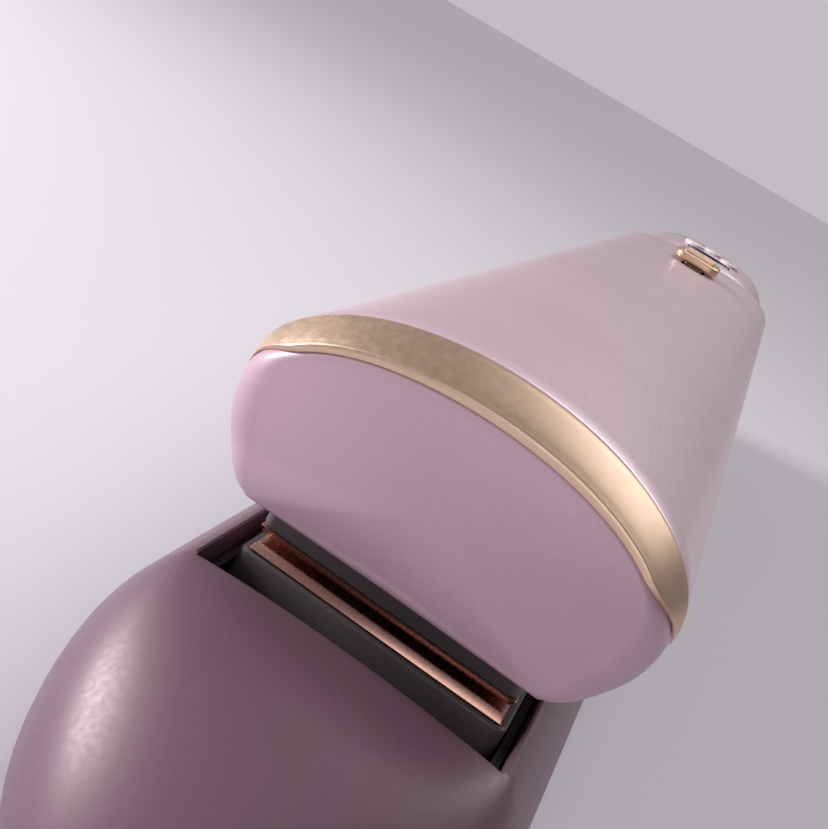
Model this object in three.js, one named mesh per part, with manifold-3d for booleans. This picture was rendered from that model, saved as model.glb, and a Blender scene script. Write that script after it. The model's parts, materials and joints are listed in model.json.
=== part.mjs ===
// A two-arm heated hair curler: a long lower arm with a domed nose, an upper arm hinged near the
// rear, floating heated plates between them, and a fan in the rear housing that blows cooling air
// out of the slots along the lower arm.
//
// Millimetres, +Z up. X runs across, +Y runs from the tip to the rear end. The origin is on the
// table, under the middle of the object.
import * as THREE from 'three';
import { mergeVertices } from 'three/addons/utils/BufferGeometryUtils.js';
import Module from 'manifold-3d';

const wasm = await Module();
wasm.setup();

// ---- Driving dimensions -------------------------------------------------------------------
const LENGTH = 286;
const END_Y = LENGTH / 2;
const GAP = 0.3; // clearance between neighbouring pieces
const WALL = 2; // casing wall
const AROUND = 32; // facets round a casing

const LIP_Y = -115; // front of the heater recess, and the upper arm's tip face
const NOSE = END_Y + LIP_Y; // length of the nose ahead of the recess
const HANDLE_Y = -1; // the plates end here and the handle begins
const HINGE = { y: 84, z: 32 };
const HOUSING_Y = 121.7; // rear end of the two casing halves

const LOWER = { halfWidth: 21, level: 10, top: 21.3, bottom: 9.6, rim: 25, floor: 1 };
const HOUSING = { halfWidth: 21, level: 24.5, top: 23.2, bottom: 24.1 };
const UPPER = { halfWidth: 20.1, level: 41, top: 10.6, bottom: 12, topPower: 2, bottomPower: 2.6 };
const UPPER_REAR = { halfWidth: 21, level: 38, top: 9.7 };
const FACE = { halfWidth: 18.1, top: 7.6 };
const BAND = { depth: 4, end: 39.8 }; // how far the trim band runs back, and the level its ends stop at
const CHEEK = 2; // rounding of the tip cap's sides below the band's ends
const ARM_FLAT = 31.4; // underside of the upper arm
const GRIP_FLAT = 28; // underside of the upper handle

const PLATE = { front: -109.5, rear: -4, halfWidth: 13.2, top: 25.6, edge: 24.9, foot: 22.6 };
const UPPER_PLATE_BOTTOM = 26.5;
const MIRROR = PLATE.top + UPPER_PLATE_BOTTOM; // z of a lower heater piece becomes MIRROR - z
const CARRIER = { lower: 13.9, upper: 13.2, foot: 19, top: 24.6, pocket: 11, endBlock: 10 };
const TRAY = { halfWidth: 14.9, floor: 11.7, thick: 1.2, top: 22.6, wall: 0.7 };
const UPPER_TRAY = { halfWidth: 14.3, front: 6.5, top: 17, wall: 0.6 };
const RECESS = { halfWidth: 15.2, upperTop: 36 };
const ELEMENT = { halfWidth: 7, front: -95, rear: -25, bottom: 21, top: 22.3 };
const CLIP = { halfWidth: 9, front: -78, rear: -42, bottom: 19.4, top: 20.7, lip: 4 };
const COIL = { wire: 0.4, clearance: 0.8, floatRadius: 3, hingeRadius: 3.5, hingeLength: 4.4 };
const VENT = { length: 3.2, height: 1.1, pitch: 7.6, count: 11, front: -98, levels: [10.1, 12.5] };

const KNUCKLE = { radius: 16, clearance: 0.6, tilt: 16, lug: 7, lugIn: 14.8, lugOut: 19.5, pin: 2 };
const BRACKET = { radius: 4.4, left: -8, right: 14.3, halfWidth: 8, front: 62, thick: 1.6 };
const FAN = { z: 15.5, radius: 10.4, front: 108.5, rear: 115, hub: 3.6, shaft: 1, blades: 7, pitch: 32 };
const SHROUD = { inner: 10.9, outer: 11.8, front: 107.6, rear: 115.8 };
const MOTOR = { radius: 7, front: 90, rear: 105.5, nose: 2.2 };
const MOUNT = { halfWidth: 12.5, front: 106, rear: 107.2, bottom: 5.5, top: 26.5, hole: 3 };
const BULKHEAD = { front: 118.6, rear: 121.2, holeX: 11, holeHalf: 2.5, holeLevels: [16, 33], holeHeight: 8 };
const CAP = { front: 2.2, rear: 1.5, slots: 12, slotWidth: 1.5, slotLength: 4.6, slotRadius: 10.4 };
const MESH = { front: 126, thick: 0.8, rim: 1 };
const SWIVEL = { z: HOUSING.level, bore: 3.7, sleeve: 6.6, flange: 8.4 };
const LOCK = { y: 54, travel: 6, stem: 3, halfWidth: 2.2, toe: 3.5, bottom: 18, pad: 5, padBottom: 49 };
const KEEPER = { halfWidth: 6, length: 7, thick: 1.8 };
const SCREW = { head: 2.7, thick: 1.1, shank: 1.2, length: 10, hole: 1.6, sink: 3.1, boss: 3, pilot: 1.5 };
const PAD = { halfWidth: 8.5, halfLength: 13, places: [-78, 78] };
const BUTTON = { top: 48.3, flange: 43.6, flangeThick: 1.2 };
const DISPLAY = { halfWidth: 5.7, front: 98.4, rear: 104.4, bottom: 45.9, top: 47.6 };
const BOARD = { halfWidth: 12, front: 103, rear: 118.2, bottom: 38.9, thick: 1.6 };
const DECK = { halfWidth: 13.7, bottom: 22.9, front: 2.3, rear: 100.3 };
const UPPER_DECK = { halfWidth: 11.7, front: 2.3, rear: 77, thick: 2 };
const LEAD = { radius: 0.8, x: 7, front: 2.5 };
const FUSE = { radius: 2, front: 24, rear: 36, z: 10 };
const screwPlaces = [12, 68];
const buttonPlaces = [
  { name: 'temp_down_button', x: -5, y: 109, radius: 2.6 },
  { name: 'temp_up_button', x: 5, y: 109, radius: 2.6 },
  { name: 'power_button', x: 0, y: 115, radius: 2.6 },
];

// ---- Finishes -----------------------------------------------------------------------------
const FINISHES = {
  mauve_shell: [0x846c78, 0.32, 0.1],
  pearl_shell: [0xc9b3bc, 0.3, 0.1],
  rose_gold: [0xc9a78f, 0.22, 0.9],
  heater_plate: [0xb98478, 0.25, 0.9],
  grey_carrier: [0x3a3434, 0.5, 0],
  black_tray: [0x161314, 0.6, 0],
  steel: [0xa9abad, 0.35, 0.95],
  rubber: [0x3a3337, 0.85, 0],
  ceramic: [0xe6e1d6, 0.6, 0],
  board: [0x245a3c, 0.55, 0],
  lens: [0x201c20, 0.1, 0],
  button: [0xd9c8cf, 0.35, 0],
  lead: [0xb43a34, 0.6, 0],
};

function finish(name) {
  const [color, roughness, metalness] = FINISHES[name];
  return new THREE.MeshStandardMaterial({ name, color, roughness, metalness });
}

// ---- Solids -------------------------------------------------------------------------------
function solidOf(geometry) {
  const bare = geometry.clone();
  bare.deleteAttribute('normal');
  bare.deleteAttribute('uv');
  const merged = mergeVertices(bare, 1e-4);
  const mesh = new wasm.Mesh({
    numProp: 3,
    vertProperties: new Float32Array(merged.attributes.position.array),
    triVerts: new Uint32Array(merged.index.array),
  });
  return new wasm.Manifold(mesh);
}

function geometryOf(solid) {
  const mesh = solid.getMesh();
  const geometry = new THREE.BufferGeometry();
  geometry.setAttribute('position', new THREE.BufferAttribute(mesh.vertProperties, 3));
  geometry.setIndex(new THREE.BufferAttribute(mesh.triVerts, 1));
  geometry.computeVertexNormals();
  return geometry;
}

// A box between two corners.
function block(x0, x1, y0, y1, z0, z1) {
  const geometry = new THREE.BoxGeometry(x1 - x0, y1 - y0, z1 - z0);
  geometry.translate((x0 + x1) / 2, (y0 + y1) / 2, (z0 + z1) / 2);
  return solidOf(geometry);
}

// A box centred across the object.
function slab(halfWidth, y0, y1, z0, z1) {
  return block(-halfWidth, halfWidth, y0, y1, z0, z1);
}

// A round bar along X, Y or Z from one end to the other; place gives its other two coordinates.
function bar(axis, radius, from, to, place, sides = 16) {
  const geometry = new THREE.CylinderGeometry(radius, radius, to - from, sides);
  const middle = (from + to) / 2;
  if (axis === 'x') geometry.rotateZ(Math.PI / 2).translate(middle, place[0], place[1]);
  if (axis === 'y') geometry.translate(place[0], middle, place[1]);
  if (axis === 'z') geometry.rotateX(Math.PI / 2).translate(place[0], place[1], middle);
  return solidOf(geometry);
}

// A turned ring about a line along Y.
function turned(profile, z, sides = 20) {
  const points = profile.map(([radius, y]) => new THREE.Vector2(radius, y));
  const geometry = new THREE.LatheGeometry(points, sides);
  geometry.translate(0, 0, z);
  return solidOf(geometry);
}

function spread(from, to, count) {
  return Array.from({ length: count + 1 }, (_, i) => from + ((to - from) * i) / count);
}

function mix(a, b, share) {
  return a + (b - a) * share;
}

function ease(from, to, value) {
  const share = Math.min(1, Math.max(0, (value - from) / (to - from)));
  return share * share * (3 - 2 * share);
}

// A casing form: a superellipse section, different at each station along Y. The inset draws every
// side in by the same amount, which gives the inner face of a wall.
function sweep(sectionAt, stations, inset = 0) {
  const rows = stations.length - 1;
  const source = new THREE.CylinderGeometry(1, 1, 1, AROUND, rows);
  const position = source.attributes.position;
  for (let i = 0; i < position.count; i += 1) {
    const y = stations[Math.round((position.getY(i) + 0.5) * rows)];
    const section = sectionAt(y);
    const across = position.getX(i);
    const up = position.getZ(i);
    const rising = up > 0;
    const power = 2 / (rising ? section.topPower : section.bottomPower);
    const height = Math.max(0.2, (rising ? section.top : section.bottom) - inset);
    const width = Math.max(0.2, section.halfWidth - inset);
    const x = width * Math.sign(across) * Math.abs(across) ** power;
    const z = height * Math.sign(up) * Math.abs(up) ** power;
    const centre = Math.hypot(across, up) < 0.5;
    position.setXYZ(i, centre ? 0 : x, y, section.level + (centre ? 0 : z));
  }
  return solidOf(source);
}

function joined(solids) {
  return solids.reduce((sum, solid) => sum.add(solid));
}

function cutBy(solid, cutters) {
  return cutters.reduce((rest, cutter) => rest.subtract(cutter), solid);
}

// ---- Casing sections ----------------------------------------------------------------------
// The lower arm's section swells into the rear housing's behind the handle, and closes to a low
// dome at the nose.
function lowerSection(y) {
  const swell = ease(48, 98, y);
  const reach = Math.min(0.998, Math.max(0, (LIP_Y - y) / NOSE));
  const plan = (1 - reach ** 1.6) ** (1 / 1.6);
  const rise = (1 - reach ** 1.9) ** (1 / 1.9);
  const fall = (1 - reach ** 2.4) ** (1 / 2.4);
  const armTop = mix(LOWER.top, LOWER.rim - LOWER.level, ease(0, 0.5, reach));
  return {
    halfWidth: mix(LOWER.halfWidth, HOUSING.halfWidth, swell) * plan,
    level: mix(LOWER.level, HOUSING.level, swell),
    top: mix(armTop, HOUSING.top, swell) * rise,
    bottom: mix(LOWER.bottom, HOUSING.bottom, swell) * fall,
    topPower: mix(2.2, 3, swell),
    bottomPower: mix(2.6, 3, swell),
  };
}

function upperSection(y) {
  const share = Math.max(0, (y - LIP_Y) / (HINGE.y - LIP_Y));
  return {
    halfWidth: mix(UPPER.halfWidth, UPPER_REAR.halfWidth, share),
    level: mix(UPPER.level, UPPER_REAR.level, share),
    top: mix(UPPER.top, UPPER_REAR.top, share),
    bottom: UPPER.bottom,
    topPower: mix(UPPER.topPower, 2.6, share),
    bottomPower: UPPER.bottomPower,
  };
}

function faceSection() {
  return { ...upperSection(LIP_Y), halfWidth: FACE.halfWidth, top: FACE.top };
}

function bandSection(y) {
  const share = Math.min(1, (y - LIP_Y) / BAND.depth);
  const outer = upperSection(LIP_Y + BAND.depth);
  return {
    ...outer,
    halfWidth: mix(FACE.halfWidth, outer.halfWidth, share),
    top: mix(FACE.top, outer.top, share),
    level: mix(UPPER.level, outer.level, share),
  };
}

// The tip cap's sides, which round out to the casing's outline.
function cheekSection(y) {
  const outer = upperSection(LIP_Y + BAND.depth);
  const reach = Math.min(1, Math.max(0, (LIP_Y + BAND.depth - GAP - y) / (BAND.depth - GAP)));
  return { ...outer, halfWidth: outer.halfWidth - CHEEK * (1 - Math.sqrt(1 - reach ** 2)) };
}

function capSection(y) {
  const reach = Math.max(0, (y - HOUSING_Y) / (END_Y + 2 - HOUSING_Y));
  const close = (1 - reach ** 2.6) ** (1 / 2.6);
  const housing = lowerSection(HOUSING_Y);
  return {
    ...housing,
    halfWidth: housing.halfWidth * close,
    top: housing.top * close,
    bottom: housing.bottom * close,
  };
}

// ---- Cutters ------------------------------------------------------------------------------
const FAR = 200;

function above(z, y0 = -FAR, y1 = FAR) {
  return slab(FAR, y0, y1, z, z + FAR);
}

function below(z, y0 = -FAR, y1 = FAR) {
  return slab(FAR, y0, y1, z - FAR, z);
}

// Staggered rows of air slots on both sides of the lower arm.
function ventSlots() {
  const slots = [];
  for (const side of [-1, 1]) {
    const ends = [side * (LOWER.halfWidth - 3 * WALL), side * (LOWER.halfWidth + WALL)];
    VENT.levels.forEach((z, row) => {
      for (let i = 0; i < VENT.count; i += 1) {
        const y = VENT.front + (i + row / VENT.levels.length) * VENT.pitch;
        slots.push(block(Math.min(...ends), Math.max(...ends), y, y + VENT.length, z, z + VENT.height));
      }
    });
  }
  return slots;
}

function hingeBar(radius, from, to, sides = 28) {
  return bar('x', radius, from, to, [HINGE.y, HINGE.z], sides);
}

// ---- Lower body ---------------------------------------------------------------------------
function lowerCasing() {
  const noseReach = [1, 0.93, 0.8, 0.62, 0.42, 0.2];
  const nose = noseReach.map((reach) => LIP_Y - reach * NOSE);
  const stations = [...nose, LIP_Y, -60, 0, 48, ...spread(56, 98, 5), HOUSING_Y];
  const outer = sweep(lowerSection, stations);
  const hollowStations = [-137, -131, -122, LIP_Y, 0, 48, ...spread(60, 98, 3), 100];
  const frontHollow = sweep(lowerSection, hollowStations, WALL).subtract(above(DECK.bottom - GAP));
  const rearHollow = sweep(lowerSection, [98, HOUSING_Y + 1], WALL);
  const recess = slab(RECESS.halfWidth, LIP_Y, HANDLE_Y - 1, TRAY.floor - 1, FAR);
  const deckOpening = slab(DECK.halfWidth + GAP, DECK.front - GAP, DECK.rear + GAP, LOCK.bottom, FAR);
  const shell = cutBy(outer, [
    above(LOWER.rim),
    below(LOWER.floor),
    frontHollow,
    rearHollow,
    recess,
    deckOpening,
    ...ventSlots(),
  ]);
  const extras = [];
  for (const side of [-1, 1]) {
    const inner = side > 0 ? KNUCKLE.lugIn : -KNUCKLE.lugOut;
    const outerEnd = side > 0 ? KNUCKLE.lugOut : -KNUCKLE.lugIn;
    extras.push(hingeBar(KNUCKLE.lug, inner, outerEnd));
    const legs = [HINGE.y - KNUCKLE.lug, HINGE.y + KNUCKLE.lug];
    extras.push(block(inner, outerEnd, legs[0], legs[1], LOWER.rim - 1, HINGE.z));
  }
  for (const y of screwPlaces) {
    extras.push(bar('z', SCREW.boss, LOWER.floor + 1, DECK.bottom - GAP, [0, y], 10));
  }
  const whole = joined([shell, ...extras]);
  return cutBy(whole, [
    hingeBar(KNUCKLE.pin + GAP, -FAR, FAR, 16),
    ...screwPlaces.map((y) => bar('z', SCREW.pilot, DECK.bottom - SCREW.length, FAR, [0, y], 8)),
  ]);
}

function lowerDeck() {
  const plate = slab(DECK.halfWidth, DECK.front, DECK.rear, DECK.bottom, LOWER.rim);
  const lockSlot = slab(LOCK.halfWidth + 0.8, LOCK.y - LOCK.travel - 4, LOCK.y + LOCK.stem + 2, 0, FAR);
  const screwCuts = screwPlaces.flatMap((y) => [
    bar('z', SCREW.hole, 0, FAR, [0, y], 10),
    bar('z', SCREW.sink, LOWER.rim - SCREW.thick - GAP, FAR, [0, y], 12),
  ]);
  return cutBy(plate, [lockSlot, ...screwCuts]);
}

function lockKeeper() {
  const front = LOCK.y - LOCK.toe - LOCK.travel - 6;
  const top = DECK.bottom - GAP;
  return slab(KEEPER.halfWidth, front, front + KEEPER.length, top - KEEPER.thick, top);
}

function deckScrew(y, headTop, direction) {
  const head = bar('z', SCREW.head, headTop - SCREW.thick, headTop, [0, y], 12);
  const shank = bar('z', SCREW.shank, headTop - SCREW.length, headTop - 1, [0, y], 8);
  const screw = head.add(shank);
  return direction > 0 ? screw : screw.mirror([0, 0, 1]).translate([0, 0, 2 * headTop]);
}

function restPad(y) {
  return slab(PAD.halfWidth, y - PAD.halfLength, y + PAD.halfLength, 0, LOWER.floor - GAP);
}

function fanMotor() {
  const body = bar('y', MOTOR.radius, MOTOR.front, MOTOR.rear, [0, FAN.z], 20);
  const nose = bar('y', MOTOR.nose, MOTOR.rear - 0.1, MOUNT.front + 0.6, [0, FAN.z], 12);
  return body.add(nose);
}

function motorMount() {
  const web = slab(MOUNT.halfWidth, MOUNT.front, MOUNT.rear, MOUNT.bottom, MOUNT.top);
  const airHoles = [-1, 1].flatMap((side) => [-1, 1].map((rise) => {
    const inner = side * (MOUNT.halfWidth - MOUNT.hole) - MOUNT.hole / 2;
    const foot = FAN.z + rise * 5.5 - 2;
    return block(inner, inner + MOUNT.hole, 0, FAR, foot, foot + 4);
  }));
  return cutBy(web, [bar('y', MOTOR.nose + 0.4, 0, FAR, [0, FAN.z], 12), ...airHoles]);
}

function motorShaft() {
  return bar('y', FAN.shaft, MOUNT.rear - GAP, FAN.rear + 0.4, [0, FAN.z], 10);
}

function fanImpeller() {
  const hub = bar('y', FAN.hub, FAN.front, FAN.rear, [0, 0], 14);
  const blades = spread(0, 360, FAN.blades).slice(1).map((angle) => {
    const blade = new THREE.BoxGeometry(0.9, FAN.rear - FAN.front + 1, FAN.radius - 3);
    blade.rotateZ(THREE.MathUtils.degToRad(FAN.pitch));
    blade.translate(0, (FAN.front + FAN.rear) / 2, 3 + (FAN.radius - 3) / 2);
    blade.rotateY(THREE.MathUtils.degToRad(angle));
    return solidOf(blade);
  });
  const reach = bar('y', FAN.radius, FAN.front, FAN.rear, [0, 0], 24);
  const wheel = joined([hub, ...blades]).intersect(reach);
  return wheel.subtract(bar('y', FAN.shaft + GAP, 0, FAR, [0, 0], 10)).translate([0, 0, FAN.z]);
}

function fanShroud() {
  const outer = bar('y', SHROUD.outer, SHROUD.front, SHROUD.rear, [0, FAN.z], 24);
  return outer.subtract(bar('y', SHROUD.inner, 0, FAR, [0, FAN.z], 24));
}

function rearCover() {
  const outer = sweep(lowerSection, [...spread(86, 98, 3), HOUSING_Y]);
  const clearance = KNUCKLE.radius + KNUCKLE.clearance;
  const hollow = sweep(lowerSection, [...spread(86, 98, 3), HOUSING_Y + 1], WALL);
  const wallFront = HINGE.y + clearance + WALL;
  const inside = cutBy(hollow, [
    hingeBar(clearance + WALL, -FAR, FAR),
    slab(FAR, -FAR, wallFront, -FAR, HINGE.z),
    slab(FAR, -FAR, HINGE.y, -FAR, FAR),
  ]);
  return cutBy(outer, [
    below(LOWER.rim + GAP),
    hingeBar(clearance, -FAR, FAR),
    slab(FAR, -FAR, HINGE.y + clearance, -FAR, HINGE.z),
    slab(FAR, -FAR, HINGE.y, -FAR, FAR),
    inside,
    slab(DISPLAY.halfWidth + GAP, DISPLAY.front - GAP, DISPLAY.rear + GAP, 44, 60),
    ...buttonPlaces.map(({ x, y, radius }) => bar('z', radius + GAP, 40, 60, [x, y], 16)),
  ]);
}

function pushButton({ x, y, radius }) {
  const flange = bar('z', radius + 0.7, BUTTON.flange, BUTTON.flange + BUTTON.flangeThick, [x, y], 16);
  return flange.add(bar('z', radius, BUTTON.flange + 0.4, BUTTON.top, [x, y], 16));
}

function buttonSwitch({ x, y }) {
  const foot = BOARD.bottom + BOARD.thick + GAP;
  return block(x - 2, x + 2, y - 2, y + 2, foot, foot + 1.6);
}

function controlBoard() {
  return slab(BOARD.halfWidth, BOARD.front, BOARD.rear, BOARD.bottom, BOARD.bottom + BOARD.thick);
}

function displayLens() {
  return slab(DISPLAY.halfWidth, DISPLAY.front, DISPLAY.rear, DISPLAY.bottom, DISPLAY.top);
}

function endBulkhead() {
  const web = sweep(lowerSection, [BULKHEAD.front, BULKHEAD.rear], WALL + GAP);
  const airHoles = [-1, 1].flatMap((side) => BULKHEAD.holeLevels.map((z) => {
    const inner = side * BULKHEAD.holeX - BULKHEAD.holeHalf;
    const foot = z - BULKHEAD.holeHeight / 2;
    return block(inner, inner + 2 * BULKHEAD.holeHalf, 0, FAR, foot, foot + BULKHEAD.holeHeight);
  }));
  return cutBy(web, [bar('y', SWIVEL.sleeve + 0.4, 0, FAR, [0, SWIVEL.z], 20), ...airHoles]);
}

function rearTrim() {
  const outer = sweep(lowerSection, [HOUSING_Y + GAP, HOUSING_Y + CAP.front - GAP]);
  const inside = sweep(lowerSection, [HOUSING_Y - 1, HOUSING_Y + 2 * CAP.front], WALL);
  return cutBy(outer, [inside, below(LOWER.floor)]);
}

function filterCap() {
  const front = HOUSING_Y + CAP.front;
  const rear = END_Y - CAP.rear;
  const outer = sweep(capSection, [...spread(front, rear - 3, 4), rear - 1.2, rear]);
  const hollow = sweep(capSection, [front - 1, ...spread(front + 3, rear - WALL, 3)], WALL);
  const slots = spread(0, 360, CAP.slots).slice(1).map((angle) => {
    const slot = new THREE.BoxGeometry(CAP.slotWidth, 4 * WALL, CAP.slotLength);
    slot.translate(0, rear, CAP.slotRadius);
    slot.rotateY(THREE.MathUtils.degToRad(angle));
    return solidOf(slot).translate([0, 0, SWIVEL.z]);
  });
  const hole = bar('y', SWIVEL.sleeve + 0.5, 0, FAR, [0, SWIVEL.z], 20);
  return cutBy(outer, [hollow, below(LOWER.floor), hole, ...slots]);
}

function filterMesh() {
  const disc = sweep(capSection, [MESH.front, MESH.front + MESH.thick], WALL + MESH.rim);
  return disc.subtract(bar('y', SWIVEL.sleeve + 1.4, 0, FAR, [0, SWIVEL.z], 20));
}

function cordSwivel() {
  const { bore, sleeve, flange } = SWIVEL;
  const profile = [
    [bore, 116.1], [flange, 116.1], [flange, 118.2], [sleeve, 118.2],
    [sleeve, END_Y - 0.8], [sleeve - 0.8, END_Y], [bore, END_Y], [bore, 116.1],
  ];
  return turned(profile, SWIVEL.z);
}

// ---- Hinge --------------------------------------------------------------------------------
function hingePin() {
  return hingeBar(KNUCKLE.pin, -KNUCKLE.lugOut + 0.1, KNUCKLE.lugOut - 0.1, 16);
}

function hingeCap(side) {
  const ends = [side * (KNUCKLE.lugOut + GAP), side * (KNUCKLE.lugOut + 1.4)];
  return hingeBar(5, Math.min(...ends), Math.max(...ends), 20);
}

function hingeBracket() {
  const knuckle = hingeBar(BRACKET.radius, BRACKET.left, BRACKET.right, 20);
  const foot = GRIP_FLAT + UPPER_DECK.thick + 1;
  const leaf = slab(BRACKET.halfWidth, BRACKET.front, HINGE.y, foot, foot + BRACKET.thick);
  return knuckle.add(leaf).subtract(hingeBar(KNUCKLE.pin + GAP, -FAR, FAR, 16));
}

// A coil drawn with a round wire.
class Helix extends THREE.Curve {
  constructor(radius, length, turns, along) {
    super();
    Object.assign(this, { radius, length, turns, along });
  }

  getPoint(t, target = new THREE.Vector3()) {
    const angle = t * this.turns * 2 * Math.PI;
    const across = this.radius * Math.cos(angle);
    const round = this.radius * Math.sin(angle);
    if (this.along === 'x') return target.set(t * this.length, across, round);
    return target.set(across, round, t * this.length);
  }
}

function coil(radius, length, turns, wire, along) {
  const section = new THREE.Shape(spread(0, 360, 6).slice(1).map((angle) => {
    const turn = THREE.MathUtils.degToRad(angle);
    return new THREE.Vector2(wire * Math.cos(turn), wire * Math.sin(turn));
  }));
  const path = new Helix(radius, length, turns, along);
  const options = { steps: Math.round(turns * 10), bevelEnabled: false, extrudePath: path };
  return solidOf(new THREE.ExtrudeGeometry(section, options));
}

function hingeSpring() {
  const coils = coil(COIL.hingeRadius, COIL.hingeLength, 4, COIL.wire, 'x');
  return coils.translate([1 - KNUCKLE.lugIn, HINGE.y, HINGE.z]);
}

// ---- Heater modules, one in each arm ------------------------------------------------------
function lowerTray() {
  const { halfWidth, floor, thick, top, wall } = TRAY;
  const front = LIP_Y + 0.4;
  const rear = HANDLE_Y - 1.4;
  const outer = slab(halfWidth, front, rear, floor, top);
  return outer.subtract(slab(halfWidth - wall, front + wall, rear - wall, floor + thick, FAR));
}

function carrier(halfWidth) {
  const body = slab(halfWidth, PLATE.front, PLATE.rear, CARRIER.foot, CARRIER.top);
  const { pocket, endBlock } = CARRIER;
  return body.subtract(slab(pocket, PLATE.front + endBlock, PLATE.rear - endBlock, 0, FAR));
}

function plate() {
  const { pocket, endBlock } = CARRIER;
  const inset = endBlock + GAP;
  const front = PLATE.front + 0.4;
  const rear = PLATE.rear - 0.4;
  const flange = slab(PLATE.halfWidth, front, rear, PLATE.edge, PLATE.top);
  const tongue = slab(pocket - GAP, PLATE.front + inset, PLATE.rear - inset, PLATE.foot, PLATE.edge + 0.2);
  return flange.add(tongue);
}

function element() {
  return slab(ELEMENT.halfWidth, ELEMENT.front, ELEMENT.rear, ELEMENT.bottom, ELEMENT.top);
}

function elementClip() {
  const { halfWidth, front, rear, bottom, top, lip } = CLIP;
  const dish = slab(halfWidth - 3, front + lip, rear - lip, (bottom + top) / 2, FAR);
  const window = slab(halfWidth - 6, front + 2.5 * lip, rear - 2.5 * lip, 0, FAR);
  return cutBy(slab(halfWidth, front, rear, bottom, top), [dish, window]);
}

function thermistor() {
  const front = ELEMENT.rear + 1.5;
  return bar('y', 0.8, front, front + 6.5, [0, ELEMENT.bottom + 0.6], 10);
}

function floatSpring(y) {
  const foot = TRAY.floor + TRAY.thick + COIL.clearance + 0.1;
  const height = CARRIER.foot - COIL.clearance - foot;
  return coil(COIL.floatRadius, height, 2.5, COIL.wire, 'z').translate([0, y, foot]);
}

// The same module stands on its head in the upper arm.
function inverted(solid) {
  return solid.mirror([0, 0, 1]).translate([0, 0, MIRROR]);
}

// ---- Upper body ---------------------------------------------------------------------------
// The slot in which the lock's post slides, open above the given height.
function lockPath(bottom) {
  const play = 2 * GAP;
  return slab(LOCK.halfWidth + play, LOCK.y - LOCK.travel - play, LOCK.y + LOCK.stem + play, bottom, FAR);
}

function upperCasing() {
  const front = LIP_Y + BAND.depth;
  const outer = sweep(upperSection, [front, -60, 0, 50, HINGE.y, HINGE.y + KNUCKLE.radius]);
  const hollow = sweep(upperSection, [front + 1.2, -60, 0, 50, HINGE.y - 2], WALL);
  const rearForm = slab(FAR, -FAR, HINGE.y, -FAR, FAR).add(hingeBar(KNUCKLE.radius, -FAR, FAR, 40));
  const wedge = new THREE.BoxGeometry(60, 60, 40);
  wedge.translate(0, 30, -20).rotateX(THREE.MathUtils.degToRad(KNUCKLE.tilt));
  wedge.translate(0, HINGE.y, HINGE.z);
  const lugCuts = [-1, 1].flatMap((side) => {
    const from = side > 0 ? KNUCKLE.lugIn - 0.4 : -30;
    const to = side > 0 ? 30 : -KNUCKLE.lugIn + 0.4;
    const radius = KNUCKLE.lug + 0.6;
    return [
      hingeBar(radius, from, to),
      block(from, to, HINGE.y - radius, HINGE.y + radius, 0, HINGE.z),
    ];
  });
  return cutBy(outer.intersect(rearForm), [
    below(ARM_FLAT, -FAR, HANDLE_Y),
    below(GRIP_FLAT),
    hollow.subtract(below(GRIP_FLAT + UPPER_DECK.thick + GAP, HANDLE_Y, FAR)),
    slab(CARRIER.upper + 0.4, front + 1.2, HANDLE_Y - 1, 0, RECESS.upperTop),
    slab(UPPER_DECK.halfWidth + GAP, UPPER_DECK.front - GAP, UPPER_DECK.rear + GAP, 0, RECESS.upperTop),
    slab(8.4, 60, FAR, 0, HINGE.z + 1.2),
    slab(14.6, HINGE.y - 6, FAR, 0, HINGE.z),
    hingeBar(5.2, -14.6, 14.6, 20),
    solidOf(wedge),
    ...lugCuts,
    lockPath(40),
  ]);
}

function trimBand() {
  const stations = [LIP_Y, LIP_Y + BAND.depth - GAP];
  const plug = sweep(faceSection, [LIP_Y - 1, LIP_Y + BAND.depth + 1], GAP + 0.2);
  return cutBy(sweep(bandSection, stations), [plug, below(BAND.end)]);
}

function tipCap() {
  const rear = LIP_Y + BAND.depth - GAP;
  const plug = sweep(faceSection, [LIP_Y, rear], 2 * GAP + 0.2);
  const cheeks = sweep(cheekSection, [LIP_Y, LIP_Y + 0.5, LIP_Y + 1.5, rear]).subtract(above(BAND.end - GAP));
  return plug.add(cheeks).subtract(below(ARM_FLAT));
}

function upperTray() {
  const { halfWidth, top, wall } = UPPER_TRAY;
  const front = LIP_Y + UPPER_TRAY.front;
  const rear = HANDLE_Y - 1.4;
  const outer = slab(halfWidth, front, rear, TRAY.floor, top);
  return outer.subtract(slab(halfWidth - wall, front + wall, rear - wall, TRAY.floor + TRAY.thick, FAR));
}

function upperDeck() {
  const top = GRIP_FLAT + UPPER_DECK.thick;
  const deck = slab(UPPER_DECK.halfWidth, UPPER_DECK.front, UPPER_DECK.rear, GRIP_FLAT, top);
  return cutBy(deck, [
    lockPath(0),
    bar('z', SCREW.hole, 0, FAR, [0, screwPlaces[0]], 10),
    bar('z', SCREW.sink, 0, GRIP_FLAT + SCREW.thick + 0.1, [0, screwPlaces[0]], 12),
  ]);
}

function lockSlider() {
  const { y, stem, halfWidth, toe, bottom, padBottom } = LOCK;
  const padTop = padBottom + 1.6;
  const thumbPad = slab(LOCK.pad, y - 4, y + 7, padBottom, padTop);
  const ribs = [-1, 2, 5].map((back) => (
    slab(LOCK.pad - 1, y + back - 0.5, y + back + 0.5, padTop - 0.1, padTop + 0.6)
  ));
  const post = slab(halfWidth, y, y + stem, bottom, padBottom + 0.2);
  const hook = slab(halfWidth, y - toe, y + 0.1, bottom, bottom + 2.2);
  return joined([thumbPad, post, hook, ...ribs]);
}

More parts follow.
